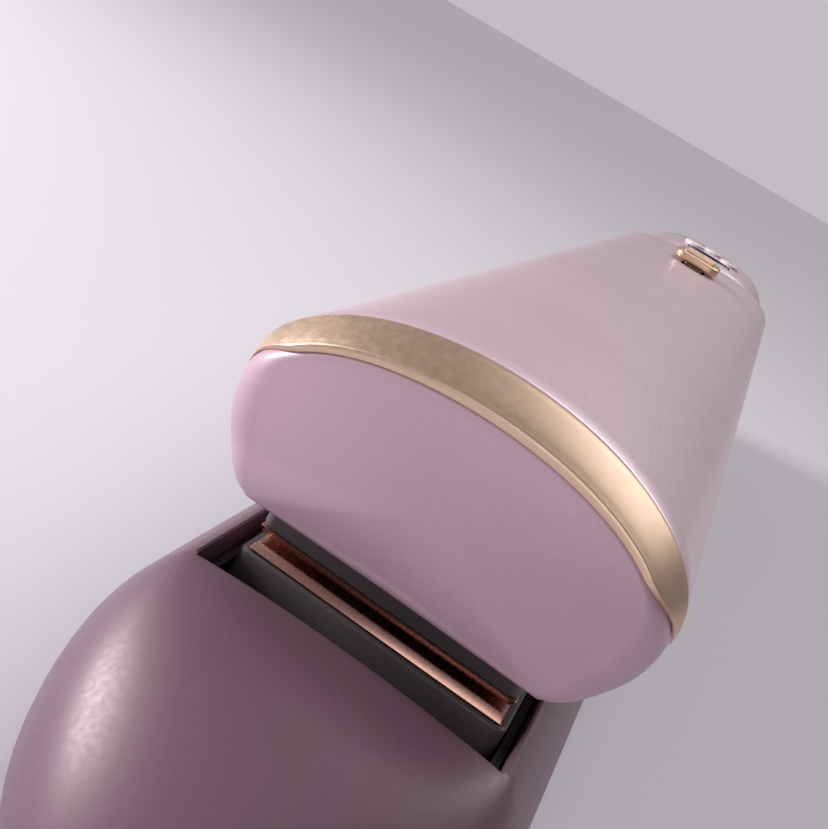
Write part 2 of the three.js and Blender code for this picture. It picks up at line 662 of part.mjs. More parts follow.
function lead(x, z, y0, y1) {
  const bend = [
    new THREE.Vector3(x, y0, z),
    new THREE.Vector3(x, mix(y0, y1, 0.35), z + 0.8),
    new THREE.Vector3(x * 1.15, mix(y0, y1, 0.7), z),
    new THREE.Vector3(x, y1, z + 0.5),
  ];
  const section = new THREE.Shape(spread(0, 360, 6).slice(1).map((angle) => {
    const turn = THREE.MathUtils.degToRad(angle);
    return new THREE.Vector2(LEAD.radius * Math.cos(turn), LEAD.radius * Math.sin(turn));
  }));
  const extrudePath = new THREE.CatmullRomCurve3(bend);
  return solidOf(new THREE.ExtrudeGeometry(section, { steps: 14, bevelEnabled: false, extrudePath }));
}

function thermalFuse() {
  return bar('y', FUSE.radius, FUSE.front, FUSE.rear, [0, FUSE.z], 12);
}

// ---- Assembly -----------------------------------------------------------------------------
const curler = new THREE.Group();

function place(parent, name, solid, finishName) {
  const mesh = new THREE.Mesh(geometryOf(solid), finish(finishName));
  mesh.name = name;
  parent.add(mesh);
}

function addHeater(parent, arm, turn, halfWidth) {
  place(parent, `${arm}_carrier`, turn(carrier(halfWidth)), 'grey_carrier');
  place(parent, `${arm}_plate`, turn(plate()), 'heater_plate');
  place(parent, `${arm}_element`, turn(element()), 'ceramic');
  place(parent, `${arm}_element_clip`, turn(elementClip()), 'steel');
  place(parent, `${arm}_thermistor`, turn(thermistor()), 'ceramic');
  place(parent, `${arm}_spring_front`, turn(floatSpring(PLATE.front + 5)), 'steel');
  place(parent, `${arm}_spring_rear`, turn(floatSpring(PLATE.rear - 5)), 'steel');
}

function addLowerBody() {
  const lower = new THREE.Group();
  place(lower, 'lower_casing', lowerCasing(), 'mauve_shell');
  place(lower, 'lower_deck', lowerDeck(), 'black_tray');
  place(lower, 'lower_tray', lowerTray(), 'black_tray');
  place(lower, 'lock_keeper', lockKeeper(), 'steel');
  place(lower, 'rest_pad_front', restPad(PAD.places[0]), 'rubber');
  place(lower, 'rest_pad_rear', restPad(PAD.places[1]), 'rubber');
  screwPlaces.forEach((y, i) => {
    place(lower, `deck_screw_${i + 1}`, deckScrew(y, LOWER.rim - 0.1, 1), 'steel');
  });
  place(lower, 'fan_motor', fanMotor(), 'steel');
  place(lower, 'motor_mount', motorMount(), 'black_tray');
  place(lower, 'motor_shaft', motorShaft(), 'steel');
  place(lower, 'fan_impeller', fanImpeller(), 'black_tray');
  place(lower, 'fan_shroud', fanShroud(), 'black_tray');
  place(lower, 'thermal_fuse', thermalFuse(), 'steel');
  place(lower, 'lower_lead_live', lead(LEAD.x, 14, LEAD.front, 78), 'lead');
  place(lower, 'lower_lead_neutral', lead(-LEAD.x, 14, LEAD.front, 78), 'lead');
  addHeater(lower, 'lower', (solid) => solid, CARRIER.lower);
  return lower;
}

function addHousing() {
  const housing = new THREE.Group();
  place(housing, 'rear_cover', rearCover(), 'pearl_shell');
  place(housing, 'display_lens', displayLens(), 'lens');
  place(housing, 'control_board', controlBoard(), 'board');
  for (const button of buttonPlaces) {
    place(housing, button.name, pushButton(button), 'button');
    place(housing, button.name.replace('button', 'switch'), buttonSwitch(button), 'black_tray');
  }
  place(housing, 'end_bulkhead', endBulkhead(), 'black_tray');
  place(housing, 'rear_trim', rearTrim(), 'rose_gold');
  place(housing, 'filter_cap', filterCap(), 'pearl_shell');
  place(housing, 'filter_mesh', filterMesh(), 'steel');
  place(housing, 'cord_swivel', cordSwivel(), 'rubber');
  return housing;
}

function addHinge() {
  const hinge = new THREE.Group();
  place(hinge, 'hinge_pin', hingePin(), 'steel');
  place(hinge, 'hinge_cap_left', hingeCap(-1), 'rose_gold');
  place(hinge, 'hinge_cap_right', hingeCap(1), 'rose_gold');
  place(hinge, 'hinge_bracket', hingeBracket(), 'steel');
  place(hinge, 'hinge_spring', hingeSpring(), 'steel');
  return hinge;
}

function addUpperBody() {
  const upper = new THREE.Group();
  place(upper, 'upper_casing', upperCasing(), 'pearl_shell');
  place(upper, 'trim_band', trimBand(), 'rose_gold');
  place(upper, 'tip_cap', tipCap(), 'mauve_shell');
  place(upper, 'upper_tray', inverted(upperTray()), 'black_tray');
  place(upper, 'upper_deck', upperDeck(), 'black_tray');
  place(upper, 'upper_deck_screw', deckScrew(screwPlaces[0], GRIP_FLAT + 0.1, -1), 'steel');
  place(upper, 'lock_slider', lockSlider(), 'rose_gold');
  place(upper, 'upper_lead_live', lead(LEAD.x, 36, LEAD.front, 60), 'lead');
  place(upper, 'upper_lead_neutral', lead(-LEAD.x, 36, LEAD.front, 60), 'lead');
  addHeater(upper, 'upper', inverted, CARRIER.upper);
  return upper;
}

curler.add(addLowerBody(), addHousing(), addHinge(), addUpperBody());

export default curler;
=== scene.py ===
"""A two-arm hair curler with a domed nose, a gold-trimmed upper arm and floating heater plates.

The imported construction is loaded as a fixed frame. The casings, trims, plates and controls are
built here as smooth surfaces over it, and every part gets its finish. Sizes are in millimetres
and are turned to metres when a mesh is made.
"""

import json
import logging
import math
from collections.abc import Callable, Iterable
from dataclasses import dataclass, field
from enum import Enum

import bmesh
import bpy
from mathutils import Matrix, Vector


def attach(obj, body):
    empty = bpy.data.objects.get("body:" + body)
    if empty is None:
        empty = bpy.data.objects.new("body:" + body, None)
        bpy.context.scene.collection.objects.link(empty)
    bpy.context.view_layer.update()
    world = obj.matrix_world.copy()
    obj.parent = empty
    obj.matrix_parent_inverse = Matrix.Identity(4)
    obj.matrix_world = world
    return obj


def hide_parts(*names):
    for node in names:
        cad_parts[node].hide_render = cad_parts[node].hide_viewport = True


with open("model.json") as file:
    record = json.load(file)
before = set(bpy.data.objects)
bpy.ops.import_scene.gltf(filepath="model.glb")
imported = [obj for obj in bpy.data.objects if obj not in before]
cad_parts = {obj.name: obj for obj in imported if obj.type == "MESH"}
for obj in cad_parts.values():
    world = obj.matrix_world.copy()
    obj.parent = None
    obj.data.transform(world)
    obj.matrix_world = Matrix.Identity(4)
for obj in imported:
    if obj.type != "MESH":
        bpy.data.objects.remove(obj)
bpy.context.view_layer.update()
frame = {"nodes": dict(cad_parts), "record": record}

LOG = logging.getLogger("hair_curler")
MM = 0.001
# Angle between faces, in degrees, above which an edge stays crisp.
SHARP_EDGE = 32.0
# Distances, in millimetres, under which vertices are merged and slivers are removed.
WELD = 0.002
SLIVER = 0.0005
Point2 = tuple[float, float]
Point3 = tuple[float, float, float]
Layer = tuple[float, float]


class Axis(Enum):
    """The direction in which a stack of outlines rises."""

    X = "x"
    Y = "y"
    Z = "z"

    def place(self, across: float, along: float, height: float) -> Point3:
        """Turns outline coordinates and a height into a point of the object."""
        if self is Axis.X:
            return (height, across, along)
        if self is Axis.Y:
            return (across, height, along)
        return (across, along, height)


class Pattern(Enum):
    """How a surface was made, which sets its fine texture."""

    SPRAYED = "sprayed"
    MOULDED = "moulded"
    BRUSHED = "brushed"
    POLISHED = "polished"


# ---- Small mathematics --------------------------------------------------------------------
def mix(start: float, end: float, share: float) -> float:
    """Returns the value that lies a share of the way from start to end."""
    return start + (end - start) * share


def spread(start: float, end: float, count: int) -> list[float]:
    """Returns count + 1 evenly spaced values from start to end."""
    return [mix(start, end, i / count) for i in range(count + 1)]


def ease(start: float, end: float, value: float) -> float:
    """Returns 0 before start, 1 after end and a smooth step between them."""
    share = min(1.0, max(0.0, (value - start) / (end - start)))
    return share * share * (3 - 2 * share)


def soft_min(first: float, second: float, blend: float) -> float:
    """Returns the lower value, with the crease where they cross rounded over the blend.

    Args:
        first: One height.
        second: The other height.
        blend: Height difference over which the crease is rounded.

    Returns:
        The rounded lower value.
    """
    overlap = max(blend - abs(first - second), 0.0) / blend
    return min(first, second) - overlap * overlap * blend / 4


def soft_max(first: float, second: float, blend: float) -> float:
    """Returns the higher value, with its crease rounded as in soft_min."""
    return -soft_min(-first, -second, blend)


def dome(reach: float, power: float) -> float:
    """Returns the height of a rounded end, 1 at reach 0 and 0 at reach 1."""
    return (1 - min(1.0, max(0.0, reach)) ** power) ** (1 / power)


# ---- Cross sections, the same forms as the construction's ---------------------------------
@dataclass(frozen=True)
class Section:
    """A casing's cross section: an oval with separate heights and powers above and below."""

    half_width: float
    level: float
    top: float
    bottom: float
    top_power: float
    bottom_power: float

    def point(self, angle: float, inset: float = 0.0) -> Point2:
        """Returns the point at an angle from the right-hand side, drawn in by the inset."""
        across, up = math.cos(angle), math.sin(angle)
        power = self.top_power if up > 0 else self.bottom_power
        height = (self.top if up > 0 else self.bottom) - inset
        x = (self.half_width - inset) * math.copysign(abs(across) ** (2 / power), across)
        z = height * math.copysign(abs(up) ** (2 / power), up)
        return (x, self.level + z)

    def angle_at(self, z: float) -> float:
        """Returns the angle on the right-hand side at which the outline reaches height z."""
        rise = z - self.level
        power = self.top_power if rise > 0 else self.bottom_power
        height = self.top if rise > 0 else self.bottom
        sine = min(1.0, abs(rise) / height) ** (power / 2)
        return math.copysign(math.asin(sine), rise)


# ---- Meshes -------------------------------------------------------------------------------
class Form:
    """A mesh under construction, in millimetres."""

    def __init__(self) -> None:
        """Starts an empty mesh."""
        self.mesh = bmesh.new()

    def ring(self, points: Iterable[Point3]) -> list[bmesh.types.BMVert]:
        """Adds a row of vertices and returns it."""
        return [self.mesh.verts.new(point) for point in points]

    def bridge(self, first: list, second: list, closed: bool = True) -> list[bmesh.types.BMFace]:
        """Joins two rows with four-sided faces.

        Args:
            first: One row of vertices.
            second: The next row, as long as the first.
            closed: Whether the last vertex of a row joins the first one.

        Returns:
            The new faces, in the order of the row.
        """
        count = len(first)
        faces = []
        for i in range(count if closed else count - 1):
            j = (i + 1) % count
            faces.append(self.mesh.faces.new((first[i], first[j], second[j], second[i])))
        return faces

    def loft(self, rings: list[list[Point3]], capped: bool = True) -> list[list]:
        """Skins a list of closed rings and returns the faces of each band."""
        rows = [self.ring(points) for points in rings]
        bands = [self.bridge(rows[i], rows[i + 1]) for i in range(len(rows) - 1)]
        if capped:
            self.mesh.faces.new(list(reversed(rows[0])))
            self.mesh.faces.new(rows[-1])
        return bands

    def stack(self, outline: Callable[[float], list[Point2]], layers: list[Layer], axis: Axis) -> None:
        """Skins copies of one outline.

        Args:
            outline: Gives the outline's points for an inset.
            layers: Height and inset of each copy.
            axis: The direction in which the copies rise.
        """
        rings = [[axis.place(u, v, height) for u, v in outline(inset)] for height, inset in layers]
        self.loft(rings)

    def perforate(self, pair: list[bmesh.types.BMFace], slot: "AirSlot") -> None:
        """Cuts a round-ended slot into two neighbouring faces.

        Args:
            pair: The faces, one behind the other along the casing.
            slot: The slot's size.
        """
        merged = bmesh.utils.face_join(pair)
        corners = list(merged.verts)
        middle = merged.calc_center_median()
        normal = merged.normal.copy()
        corners.sort(key=lambda vert: vert.co.y)
        front, rear = corners[:2], corners[-2:]
        front_middle = (front[0].co + front[1].co) / 2
        rear_middle = (rear[0].co + rear[1].co) / 2
        along = (rear_middle - front_middle).normalized()
        up = normal.cross(along).normalized()
        self.mesh.faces.remove(merged)
        half, radius = slot.length / 2 - slot.height / 2, slot.height / 2
        outline = []
        for end in (1, -1):
            for step in range(slot.sides + 1):
                turn = math.pi * (step / slot.sides - 0.5)
                outline.append(middle + along * end * (half + radius * math.cos(turn))
                               + up * end * radius * math.sin(turn))
        rim = self.ring(outline)
        lip = self.ring([point - normal * slot.lip + (middle - point) * slot.lip / 2 for point in outline])
        foot = self.ring([point - normal * slot.depth for point in outline])
        self._fill_between(corners, rim, middle, along, up)
        for upper, lower in ((rim, lip), (lip, foot)):
            for face in self.bridge(upper, lower):
                face.material_index = 1
        self.mesh.faces.new(list(reversed(foot))).material_index = 1

    def _fill_between(self, outer: list, inner: list, middle: Vector, along: Vector, up: Vector) -> None:
        """Joins an outer loop to a finer inner loop with triangles, by angle about the middle."""

        def angle(vert: bmesh.types.BMVert) -> float:
            """Returns the vertex's angle about the middle."""
            return math.atan2((vert.co - middle).dot(up), (vert.co - middle).dot(along))

        loops = [sorted(loop, key=angle) for loop in (outer, inner)]
        marks = [[angle(v) for v in loop] for loop in loops]
        position = [0, 0]
        sizes = [len(loops[0]), len(loops[1])]
        while position[0] < sizes[0] or position[1] < sizes[1]:
            ahead = []
            for side in (0, 1):
                step = position[side] + 1
                wrap = step // sizes[side]
                ahead.append(marks[side][step % sizes[side]] + wrap * 2 * math.pi)
            side = 0 if position[1] >= sizes[1] or (position[0] < sizes[0] and ahead[0] <= ahead[1]) else 1
            first = loops[0][position[0] % sizes[0]]
            second = loops[1][position[1] % sizes[1]]
            third = loops[side][(position[side] + 1) % sizes[side]]
            self.mesh.faces.new((first, third, second))
            position[side] += 1

    def piece(
        self, name: str, finish: "Finish", sharp: float = SHARP_EDGE, inner: "Finish | None" = None
    ) -> bpy.types.Object:
        """Turns the form into an object of the scene.

        Args:
            name: The piece's name.
            finish: The finish of its surface.
            sharp: Edges sharper than this many degrees are not smoothed.
            inner: The finish inside its slots.

        Returns:
            The new object.
        """
        bmesh.ops.remove_doubles(self.mesh, verts=self.mesh.verts, dist=WELD)
        bmesh.ops.dissolve_degenerate(self.mesh, dist=SLIVER, edges=self.mesh.edges)
        bmesh.ops.recalc_face_normals(self.mesh, faces=self.mesh.faces)
        bmesh.ops.scale(self.mesh, vec=(MM, MM, MM), verts=self.mesh.verts)
        data = bpy.data.meshes.new(name)
        self.mesh.to_mesh(data)
        self.mesh.free()
        piece = bpy.data.objects.new(name, data)
        bpy.context.scene.collection.objects.link(piece)
        for used in [finish] + ([inner] if inner else []):
            data.materials.append(used.material())
        smooth(data, sharp)
        return piece


def smooth(data: bpy.types.Mesh, sharp: float) -> None:
    """Shades a mesh smooth except across edges sharper than the given degrees."""
    data.polygons.foreach_set("use_smooth", [True] * len(data.polygons))
    data.set_sharp_from_angle(angle=math.radians(sharp))


def carve(piece: bpy.types.Object, cutter: Form, sharp: float = SHARP_EDGE) -> None:
    """Cuts the cutter's form out of a piece, and leaves no modifier behind.

    Args:
        piece: The piece to cut.
        cutter: The form to take away.
        sharp: Edges sharper than this many degrees are not smoothed.
    """
    tool = cutter.piece(f"{piece.name}_cutter", Finishes.BLACK_MOULDING)
    cut = piece.modifiers.new("cut", "BOOLEAN")
    cut.operation = "DIFFERENCE"
    cut.solver = "EXACT"
    cut.object = tool
    cut.material_mode = "TRANSFER"
    bpy.context.view_layer.update()
    graph = bpy.context.evaluated_depsgraph_get()
    result = bpy.data.meshes.new_from_object(piece.evaluated_get(graph))
    piece.modifiers.clear()
    piece.data = result
    bpy.data.objects.remove(tool)
    smooth(result, sharp)


# ---- Outlines -----------------------------------------------------------------------------
def circle(centre: Point2, radius: float, sides: int = 48) -> Callable[[float], list[Point2]]:
    """Returns the outline of a disc."""

    def outline(inset: float) -> list[Point2]:
        """Returns the circle drawn in by the inset."""
        turns = [2 * math.pi * i / sides for i in range(sides)]
        reach = radius - inset
        return [(centre[0] + reach * math.cos(t), centre[1] + reach * math.sin(t)) for t in turns]

    return outline


def rounded_box(low: Point2, high: Point2, radius: float, steps: int = 5) -> Callable[[float], list[Point2]]:
    """Returns the outline of a rectangle with round corners.

    Args:
        low: Its lowest corner.
        high: Its highest corner.
        radius: Corner radius.
        steps: Facets in each corner.

    Returns:
        A function that gives the outline for an inset.
    """

    def outline(inset: float) -> list[Point2]:
        """Returns the rectangle drawn in by the inset."""
        reach = max(radius - inset, 0.02)
        points = []
        for quarter, (u, v) in enumerate(((high[0], high[1]), (low[0], high[1]), (low[0], low[1]), (high[0], low[1]))):
            side_u = 1 if quarter in (0, 3) else -1
            side_v = 1 if quarter in (0, 1) else -1
            hub = (u - side_u * (inset + reach), v - side_v * (inset + reach))
            for step in range(steps + 1):
                turn = math.pi / 2 * (quarter + step / steps)
                points.append((hub[0] + reach * math.cos(turn), hub[1] + reach * math.sin(turn)))
        return points

    return outline


def rounded_layers(low: float, high: float, radius: float, steps: int = 4) -> list[Layer]:
    """Returns the layers of a stack whose two end edges are rounded."""
    turns = [math.pi / 2 * i / steps for i in range(steps + 1)]
    start = [(low + radius * (1 - math.sin(t)), radius * (1 - math.cos(t))) for t in reversed(turns)]
    end = [(high - radius * (1 - math.sin(t)), radius * (1 - math.cos(t))) for t in turns]
    return start + end


# ---- Materials ----------------------------------------------------------------------------
def linear(code: str) -> tuple[float, float, float, float]:
    """Turns an sRGB hex colour into linear RGBA."""
    values = [int(code[i:i + 2], 16) / 255 for i in (1, 3, 5)]
    return (*[v / 12.92 if v <= 0.04045 else ((v + 0.055) / 1.055) ** 2.4 for v in values], 1.0)


def add_node(tree: bpy.types.NodeTree, kind: str, settings: dict, links: dict) -> bpy.types.Node:
    """Adds a node with its settings and links.

    Args:
        tree: The material's node tree.
        kind: The node's type.
        settings: Values for its properties, or for its inputs by name or number.
        links: Output sockets to join to its inputs, by input name or number.

    Returns:
        The new node.
    """
    node = tree.nodes.new(kind)
    for key, value in settings.items():
        if isinstance(key, str) and hasattr(node, key):
            setattr(node, key, value)
        else:
            node.inputs[key].default_value = value
    for key, socket in links.items():
        tree.links.new(socket, node.inputs[key])
    return node


@dataclass(frozen=True)
class Finish:
    """One real material and the way its surface was made."""

    name: str
    slot: str
    colour: str
    shade: str
    pattern: Pattern
    roughness: float
    metallic: float = 0.0
    ior: float = 1.5
    coat: float = 0.0
    coat_roughness: float = 0.1
    grain: float = 1.0
    relief: float = 0.002
    sheen: float = 0.0

    def material(self) -> bpy.types.Material:
        """Returns the finish's material, made the first time it is asked for."""
        known = bpy.data.materials.get(self.name)
        if known:
            return known
        material = bpy.data.materials.new(self.name)
        material.use_nodes = True
        tree = material.node_tree
        tree.nodes.clear()
        place = add_node(tree, "ShaderNodeTexCoord", {}, {})
        stretch = (1.0, 0.03, 1.0) if self.pattern is Pattern.BRUSHED else (1.0, 1.0, 1.0)
        mapping = add_node(tree, "ShaderNodeMapping", {"Scale": stretch}, {"Vector": place.outputs["Object"]})
        vector = mapping.outputs["Vector"]
        fine = add_node(tree, "ShaderNodeTexNoise", {"Scale": 1 / (self.grain * MM), "Detail": 3.0}, {"Vector": vector})
        # Broad unevenness, about 25 mm across, that keeps a large surface from looking flat.
        broad = add_node(tree, "ShaderNodeTexNoise", {"Scale": 1 / (25 * MM), "Detail": 2.0}, {"Vector": vector})
        tone = add_node(tree, "ShaderNodeMapRange", {1: 0.35, 2: 0.65}, {0: broad.outputs["Fac"]})
        speckle = add_node(tree, "ShaderNodeMath", {"operation": "MULTIPLY"},
                           {0: tone.outputs[0], 1: fine.outputs["Fac"]})
        colour = add_node(tree, "ShaderNodeMix", {"data_type": "RGBA", 6: linear(self.colour), 7: linear(self.shade)},
                          {0: speckle.outputs[0]})
        low, high = self.roughness * 0.9, min(1.0, self.roughness * 1.12)
        rough = add_node(tree, "ShaderNodeMapRange", {1: 0.3, 2: 0.7, 3: low, 4: high}, {0: fine.outputs["Fac"]})
        bump = add_node(tree, "ShaderNodeBump", {"Strength": 1.0, "Distance": self.relief * MM},
                        {"Height": fine.outputs["Fac"]})
        shader = add_node(tree, "ShaderNodeBsdfPrincipled",
                          {"Metallic": self.metallic, "IOR": self.ior, "Coat Weight": self.coat,
                           "Coat Roughness": self.coat_roughness, "Sheen Weight": self.sheen},
                          {"Base Color": colour.outputs[2], "Roughness": rough.outputs[0],
                           "Normal": bump.outputs["Normal"]})
        add_node(tree, "ShaderNodeOutputMaterial", {}, {"Surface": shader.outputs[0]})
        return material


class Finishes:
    """Every finish on the curler."""

    # Spray-painted ABS with a fine pearl: a soft, slightly cloudy mauve, painted darker than the real paint as painted
    # shade on the nose and lower casing.
    SHADED_MAUVE_PAINT = Finish("mauve_paint_darkened_as_painted_shade", "mauve_shell", "#6C505D", "#644955", Pattern.SPRAYED,
                         0.46, metallic=0.1, coat=0.15, coat_roughness=0.35, grain=0.5, relief=0.0004)
    # The tip cap is the same paint, painted lighter as painted light on its face: the lit copy of the shaded mauve
    # above.
    LIT_MAUVE_PAINT = Finish("mauve_paint_lightened_as_painted_light", "mauve_shell", "#B797A7", "#AD8D9D", Pattern.SPRAYED,
                       0.44, metallic=0.1, coat=0.2, coat_roughness=0.35, grain=0.5, relief=0.0004)
    # Pearl-painted ABS: pale pink with a smooth gloss.
    PEARL_PAINT = Finish("pearl_painted_abs", "pearl_shell", "#D6BCC5", "#CDB2BC", Pattern.SPRAYED,
                         0.34, metallic=0.3, coat=0.4, coat_roughness=0.2, grain=0.5, relief=0.0004)
    # Vacuum-plated champagne gold: a metal sheen, a little softened by its lacquer.
    CHAMPAGNE_GOLD = Finish("champagne_gold_plating", "rose_gold", "#D9BBA3", "#CFAF96", Pattern.POLISHED,
                            0.36, metallic=0.85, coat=0.15, coat_roughness=0.3, grain=0.6, relief=0.0003)
    # The lock slider is the same colour sprayed on plastic.
    GOLD_PAINT = Finish("champagne_painted_abs", "gold_plastic", "#CFAA8C", "#BF9A7C", Pattern.SPRAYED,
                        0.34, metallic=0.6, coat=0.3, grain=0.4, relief=0.001)
    # Ceramic-coated aluminium: rose gold, ground along its length.
    COATED_ALUMINIUM = Finish("coated_aluminium_plate", "heater_plate", "#CFA192", "#BF9183", Pattern.BRUSHED,
                              0.26, metallic=1.0, coat=0.1, grain=0.25, relief=0.0004)
    # Glass-filled nylon: dark grey with a fine matt grain.
    GREY_NYLON = Finish("grey_nylon_moulding", "grey_carrier", "#4A4243", "#3F3839", Pattern.MOULDED,
                        0.42, coat=0.1, grain=0.35, relief=0.004)
    # Black nylon inside the recess, deep and matt.
    BLACK_MOULDING = Finish("black_nylon_moulding", "black_moulding", "#161314", "#0E0C0D", Pattern.MOULDED,
                            0.6, grain=0.35, relief=0.004)
    # Plain drawn steel of springs, pins and screws.
    PLAIN_STEEL = Finish("drawn_steel", "steel", "#B4B6B8", "#9A9C9F", Pattern.BRUSHED,
                         0.34, metallic=1.0, grain=0.2, relief=0.001)
    # Silicone rubber: soft and matt.
    SILICONE = Finish("silicone_rubber", "rubber", "#4A4046", "#3D343A", Pattern.MOULDED,
                      0.7, ior=1.42, grain=0.4, relief=0.003, sheen=0.1)
    # Fired alumina: off-white and chalky.
    ALUMINA = Finish("fired_alumina", "ceramic", "#E6E1D6", "#D8D2C5", Pattern.MOULDED,
                     0.6, ior=1.7, grain=0.3, relief=0.002)
    # Solder mask over fibreglass.
    CIRCUIT_BOARD = Finish("solder_mask", "circuit_board", "#245A3C", "#1C4A30", Pattern.MOULDED,
                           0.4, grain=0.4, relief=0.001)
    # Smoked acrylic over the display.
    SMOKED_ACRYLIC = Finish("smoked_acrylic", "display_window", "#141116", "#0F0D11", Pattern.POLISHED,
                            0.08, ior=1.49, coat=0.4, coat_roughness=0.03, grain=1.0, relief=0.0002)
    # Moulded ABS of the buttons.
    BUTTON_ABS = Finish("moulded_abs_button", "button_plastic", "#D9C8CF", "#CDBBC3", Pattern.MOULDED,
                        0.38, ior=1.53, grain=0.3, relief=0.002)
    # Extruded silicone sleeve of the heater leads.
    WIRE_SLEEVE = Finish("silicone_wire_sleeve", "wire_sleeve", "#B43A34", "#9E302B", Pattern.MOULDED,
                         0.55, ior=1.42, grain=0.4, relief=0.001)


def settle(piece: bpy.types.Object, body: str, slot: str, *nodes: str) -> bpy.types.Object:
    """Attaches a finished piece to its body and hides the construction nodes that it stands for.

    Args:
        piece: The piece.
        body: The body that carries it.
        slot: Not used.
        *nodes: The construction nodes that it stands for.

    Returns:
        The piece.
    """
    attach(piece, body)
    if nodes:
        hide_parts(*nodes)
    LOG.info("%s rides on %s, %d faces", piece.name, body, len(piece.data.polygons))
    return piece


@dataclass(frozen=True)
class AirSlot:
    """A small round-ended air slot in a casing's side."""

    length: float = 2.8
    height: float = 1.0
    depth: float = 1.6
    lip: float = 0.12
    sides: int = 5


